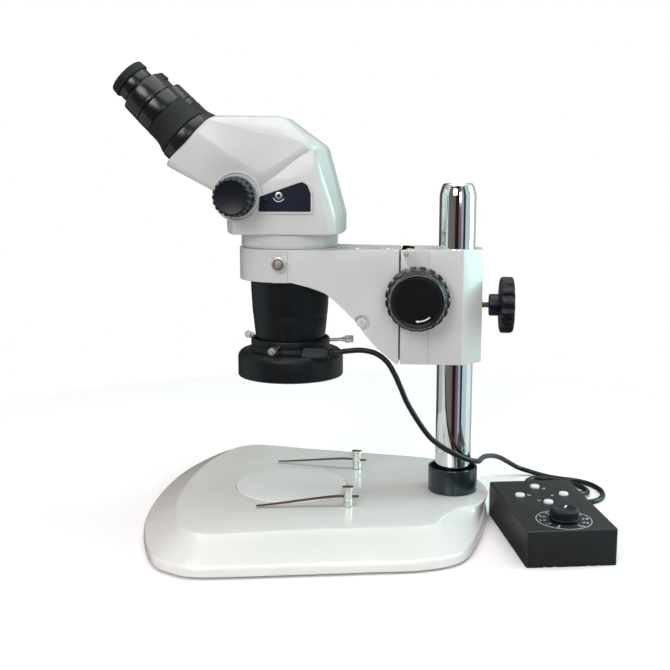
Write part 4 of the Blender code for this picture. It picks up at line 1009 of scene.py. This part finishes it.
def make_ring_light():
    turns = [math.radians(t) for t in range(0, 91, 10)]
    shoulder = [(40.6 + 7.0 * math.cos(t), 145.0 + 7.0 * math.sin(t)) for t in turns]
    profile = [
        (31.5, 132.4), (36.0, 132.4), (36.0, 146.0), (44.6, 146.0), (44.6, 128.4), (46.9, 128.4),
        (47.6, 129.2),
        *shoulder, (37.2, 152.2), (36.1, 153.0), (35.8, 155.2), (35.1, 155.6), (35.1, 157.0), (35.7, 157.4), (
            35.4, 161.6
        ),
        (35.0, 162.4), (34.4, 162.6), (33.4, 162.6), (32.9, 161.8), (32.9, 151.0), (31.5, 149.0),
    ]
    lamp = add_object("lamp_housing", turned(eased(profile, 0.25), 160), move(OX, 0, 0))
    boss = bmesh.new()
    for x, y, z in BOSS:
        boss.verts.new((OX + x, y, z))
    bmesh.ops.convex_hull(boss, input=boss.verts)
    block = bevel(add_object("boss", boss), 1.6, 4, 25)
    combine(lamp, "UNION", block)
    cut(lamp, rod(2.9, -8, 20, 32), move(OX + 35.5, -32.5, 153.8) @ turn("Y", 90))
    for angle in THUMBS.values():
        cut(lamp, rod(1.8, 30, 45, 24), move(OX, 0, THUMB_Z) @ turn("Z", angle) @ turn("Y", 90))
    cut(lamp, turned([(0, 120), (31.4, 120), (31.4, 170), (0, 170)], 128), move(OX, 0, 0))
    stands_for(dress(lamp, SATIN, 28), "head", "ring_light_housing")
    relief = turned(eased([(2.75, -2), (3.9, -2), (3.9, 1.5), (3.3, 3.6), (2.75, 3.6)], 0.3), 48)
    stands_for(
        add_piece("lamp_relief", relief, RUBBER, move(OX + 38.5, -32.5, 153.8) @ turn("Y", 90)), "head"
    )
    cover = turned(eased([(31.9, 129.0), (44.1, 129.0), (44.1, 131.6), (31.9, 131.6)], 0.3), 128)
    stands_for(add_piece("lamp_cover", cover, MILKY, move(OX, 0, 0)), "head", "ring_light_diffuser")
    grip = scallops(20, 0.35)
    for name, angle in THUMBS.items():
        screw = [
            (0, 31.5), (1.5, 31.5), (1.5, 47.6), (2.2, 48.0), (2.2, 50.4), (3.0, 50.8), (3.4, 51.2, grip),
            (3.4, 57.2, grip), (3.0, 57.8),
            (1.2, 58.0), (0.9, 57.0), (0, 57.0),
        ]
        place = move(OX, 0, THUMB_Z) @ turn("Z", angle) @ turn("Y", 90)
        turned_piece(
            f"thumbscrew_{name}", screw, 120, NICKEL, place, f"lamp_screw_{name}", f"ring_light_screw_{name}"
        )


# Dimmer box ------------------------------
BOX = move(PX + 81.1, -54.9, 0) @ turn("Z", 9.96)
BOX_W, BOX_L, BOX_H = 74.1, 128.9, 30.5
BUTTONS = {
    "button_far": (0, 45), "button_left": (-19.5, 23), "button_right": (19.5, 23), "button_near": (0, 3)
}
DIAL = (0, -40)


def make_box():
    corner = [(sx * BOX_W / 2, sy * BOX_L / 2, 3.0) for sx, sy in ((1, -1), (1, 1), (-1, 1), (-1, -1))]
    outline = [Vector(p) for p in rounded(corner, 6)]
    rings = [level(inset(outline, d), z, 0) for d, z in (
        (0.3, 0.0), (0.0, 0.3), (0.0, 29.0), (0.12, 29.6), (0.4, 30.1), (0.85, 30.4), (1.4, 30.5)
    )]
    shell = add_object("dimmer_case", loft(rings), BOX)
    cut(shell, box_mesh((BOX_W - 4.6, BOX_L - 4.6, BOX_H), (0, 0, BOX_H / 2 - 2.5)), BOX)
    for u, v in BUTTONS.values():
        cut(
            shell, turned([(0, 20), (4.5, 20), (4.5, 30.2), (4.9, 30.6), (4.9, 40), (0, 40)], 48),
            BOX @ move(u, v, 0)
        )
    cut(shell, rod(3.6, 24, 40), BOX @ move(*DIAL, 0))
    port = BOX @ move(22.0, BOX_L / 2, 12.0) @ turn("X", -90)
    socket = BOX @ move(-20.0, BOX_L / 2, 9.0) @ turn("X", -90)
    cut(shell, rod(4.3, -9, 9), port)
    cut(shell, box_mesh((9.6, 12, 11.6), (-20.0, BOX_L / 2, 9.0)), BOX)
    for u in (-22, -14, 14, 22):
        cut(shell, box_mesh((3.0, 3.4, 1.6), (u, -BOX_L / 2, 0.4)), BOX)
    stands_for(dress(shell, CASE, 28), "stand", "control_shell")
    for name, (u, v) in BUTTONS.items():
        push = [
            (0, 17.4), (2.0, 17.4), (2.0, 24.0), (5.6, 24.0), (5.6, 25.6), (4.2, 25.6), (4.2, 31.6),
            (3.6, 32.3), (2.0, 32.5), (0, 32.5)
        ]
        cap = add_piece(
            name.replace("button", "cap"), turned(eased(push, 0.4), 64), BUTTON, BOX @ move(u, v, 0)
        )
        stands_for(cap, name.replace("button_", "") + "_button", name)
    ribs = scallops(36, 0.55, 1.5)
    knob = [
        (0, 21.4), (3.0, 21.4), (3.0, 31.2), (12.0, 31.2), (12.2, 31.6), (12.2, 32.8), (11.9, 33.2, ribs),
        (11.6, 38.6, ribs),
        (11.2, 39.6, ribs), (10.4, 40.2), (9.4, 40.5), (8.8, 40.2), (0, 40.1),
    ]
    turned_piece("dial_knob", knob, 288, BLUE_BLACK, BOX @ move(*DIAL, 0), "dimmer", "dimmer_knob", sharp=35)
    line = box_mesh((1.4, 6.4, 0.5), (0, 4.4, 40.1))
    stands_for(add_piece("dial_line", line, PRINT, BOX @ move(*DIAL, 0) @ turn("Z", -30)), "dimmer")
    scale = turned([(22.1, 30.45), (22.5, 30.45), (22.5, 30.58), (22.1, 30.58)], 128)
    gate = bmesh.new()
    absorb(gate, scale)
    for i in range(11):
        tick = box_mesh((0.9, 2.2, 0.13), (0, 16.2, 30.52))
        bmesh.ops.transform(tick, matrix=turn("Z", 150 - i * 30), verts=tick.verts)
        absorb(gate, tick)
    stands_for(add_piece("dial_scale", gate, PRINT, BOX @ move(*DIAL, 0)), "stand")
    for i in range(11):
        angle = math.radians(150 - i * 30)
        x, y = DIAL[0] - 19.4 * math.sin(angle), DIAL[1] + 19.4 * math.cos(angle)
        numeral(f"dial_number_{i}", str(i), 4.0, BOX @ move(x, y, 30.5))
    marks = {"far": (6.6, 39.0), "left": (-11.5, 22.5), "right": (8.8, 20.4), "near": (-6.6, 8.4)}
    for name, (u, v) in marks.items():
        lamp = bmesh.new()
        absorb(lamp, turned([(1.0, 30.45), (1.3, 30.45), (1.3, 30.58), (1.0, 30.58)], 40))
        if name in ("far", "left"):
            absorb(lamp, box_mesh((3.2, 0.35, 0.13), (0, 2.0, 30.52)))
        stands_for(add_piece(f"button_mark_{name}", lamp, PRINT, BOX @ move(u, v, 0)), "stand")
    gland = [
        (2.7, -4), (5.6, -4), (5.6, -2.6), (4.0, -2.6), (4.0, 0.3), (5.2, 0.3), (5.3, 1.6), (4.6, 2.4),
        (4.4, 3.2), (4.6, 3.6), (4.3, 5.0),
        (4.0, 5.4), (4.2, 5.8), (3.8, 8.8), (2.7, 9.0),
    ]
    turned_piece("gland_boot", gland, 64, RUBBER, port, "stand", "cord_gland", ease=0.25)
    jack = add_object("power_socket", box_mesh((9, 12, 11), (-20.0, BOX_L / 2 - 6.2, 9.0)), BOX)
    bevel(jack, 0.4, 2)
    cut(jack, rod(3.1, -9, 9), socket)
    stands_for(dress(jack, GLOSS), "stand", "power_jack")
    pin = turned(eased([(0, -8.6), (1.0, -8.6), (1.0, -1.2), (0, -1.0)], 0.3), 24)
    stands_for(add_piece("power_pin", pin, NICKEL, socket), "stand")


def numeral(name, text, size, place):
    curve = bpy.data.curves.new(name, "FONT")
    curve.body, curve.size, curve.extrude = text, size, 0.06
    curve.align_x, curve.align_y = "CENTER", "CENTER"
    flat = bpy.data.objects.new(name, curve)
    bpy.context.scene.collection.objects.link(flat)
    bpy.context.view_layer.update()
    mesh = bpy.data.meshes.new_from_object(flat.evaluated_get(bpy.context.evaluated_depsgraph_get()))
    bpy.data.objects.remove(flat)
    bm = bmesh.new()
    bm.from_mesh(mesh)
    bmesh.ops.remove_doubles(bm, verts=bm.verts, dist=1e-5)
    stands_for(add_piece(name, bm, PRINT, place), "stand")


make_camera()
make_studio()
make_cord()
make_base()
make_pillar()
make_clips()
make_block()
make_clamp()
make_focus_knobs()
make_arm()
make_head()
make_nosepiece()
make_zoom_knobs()
make_eyepieces()
make_ring_light()
make_box()

CAD_FINISHES = {
    "white_casting": WHITE, "stage_white": STAGE, "black_casting": SATIN, "black_gloss": GLOSS,
    "black_plastic": SATIN, "black_rubber": RUBBER, "chrome": CHROME, "steel": NICKEL, "brass": BRASS,
    "glass": GLASS, "diffuser": MILKY, "button_white": BUTTON, "board_green": BOARD,
}
for row in frame["record"]["subparts"]:
    dress(frame["nodes"][row["node"]], CAD_FINISHES[row["material_slot"]], 30)
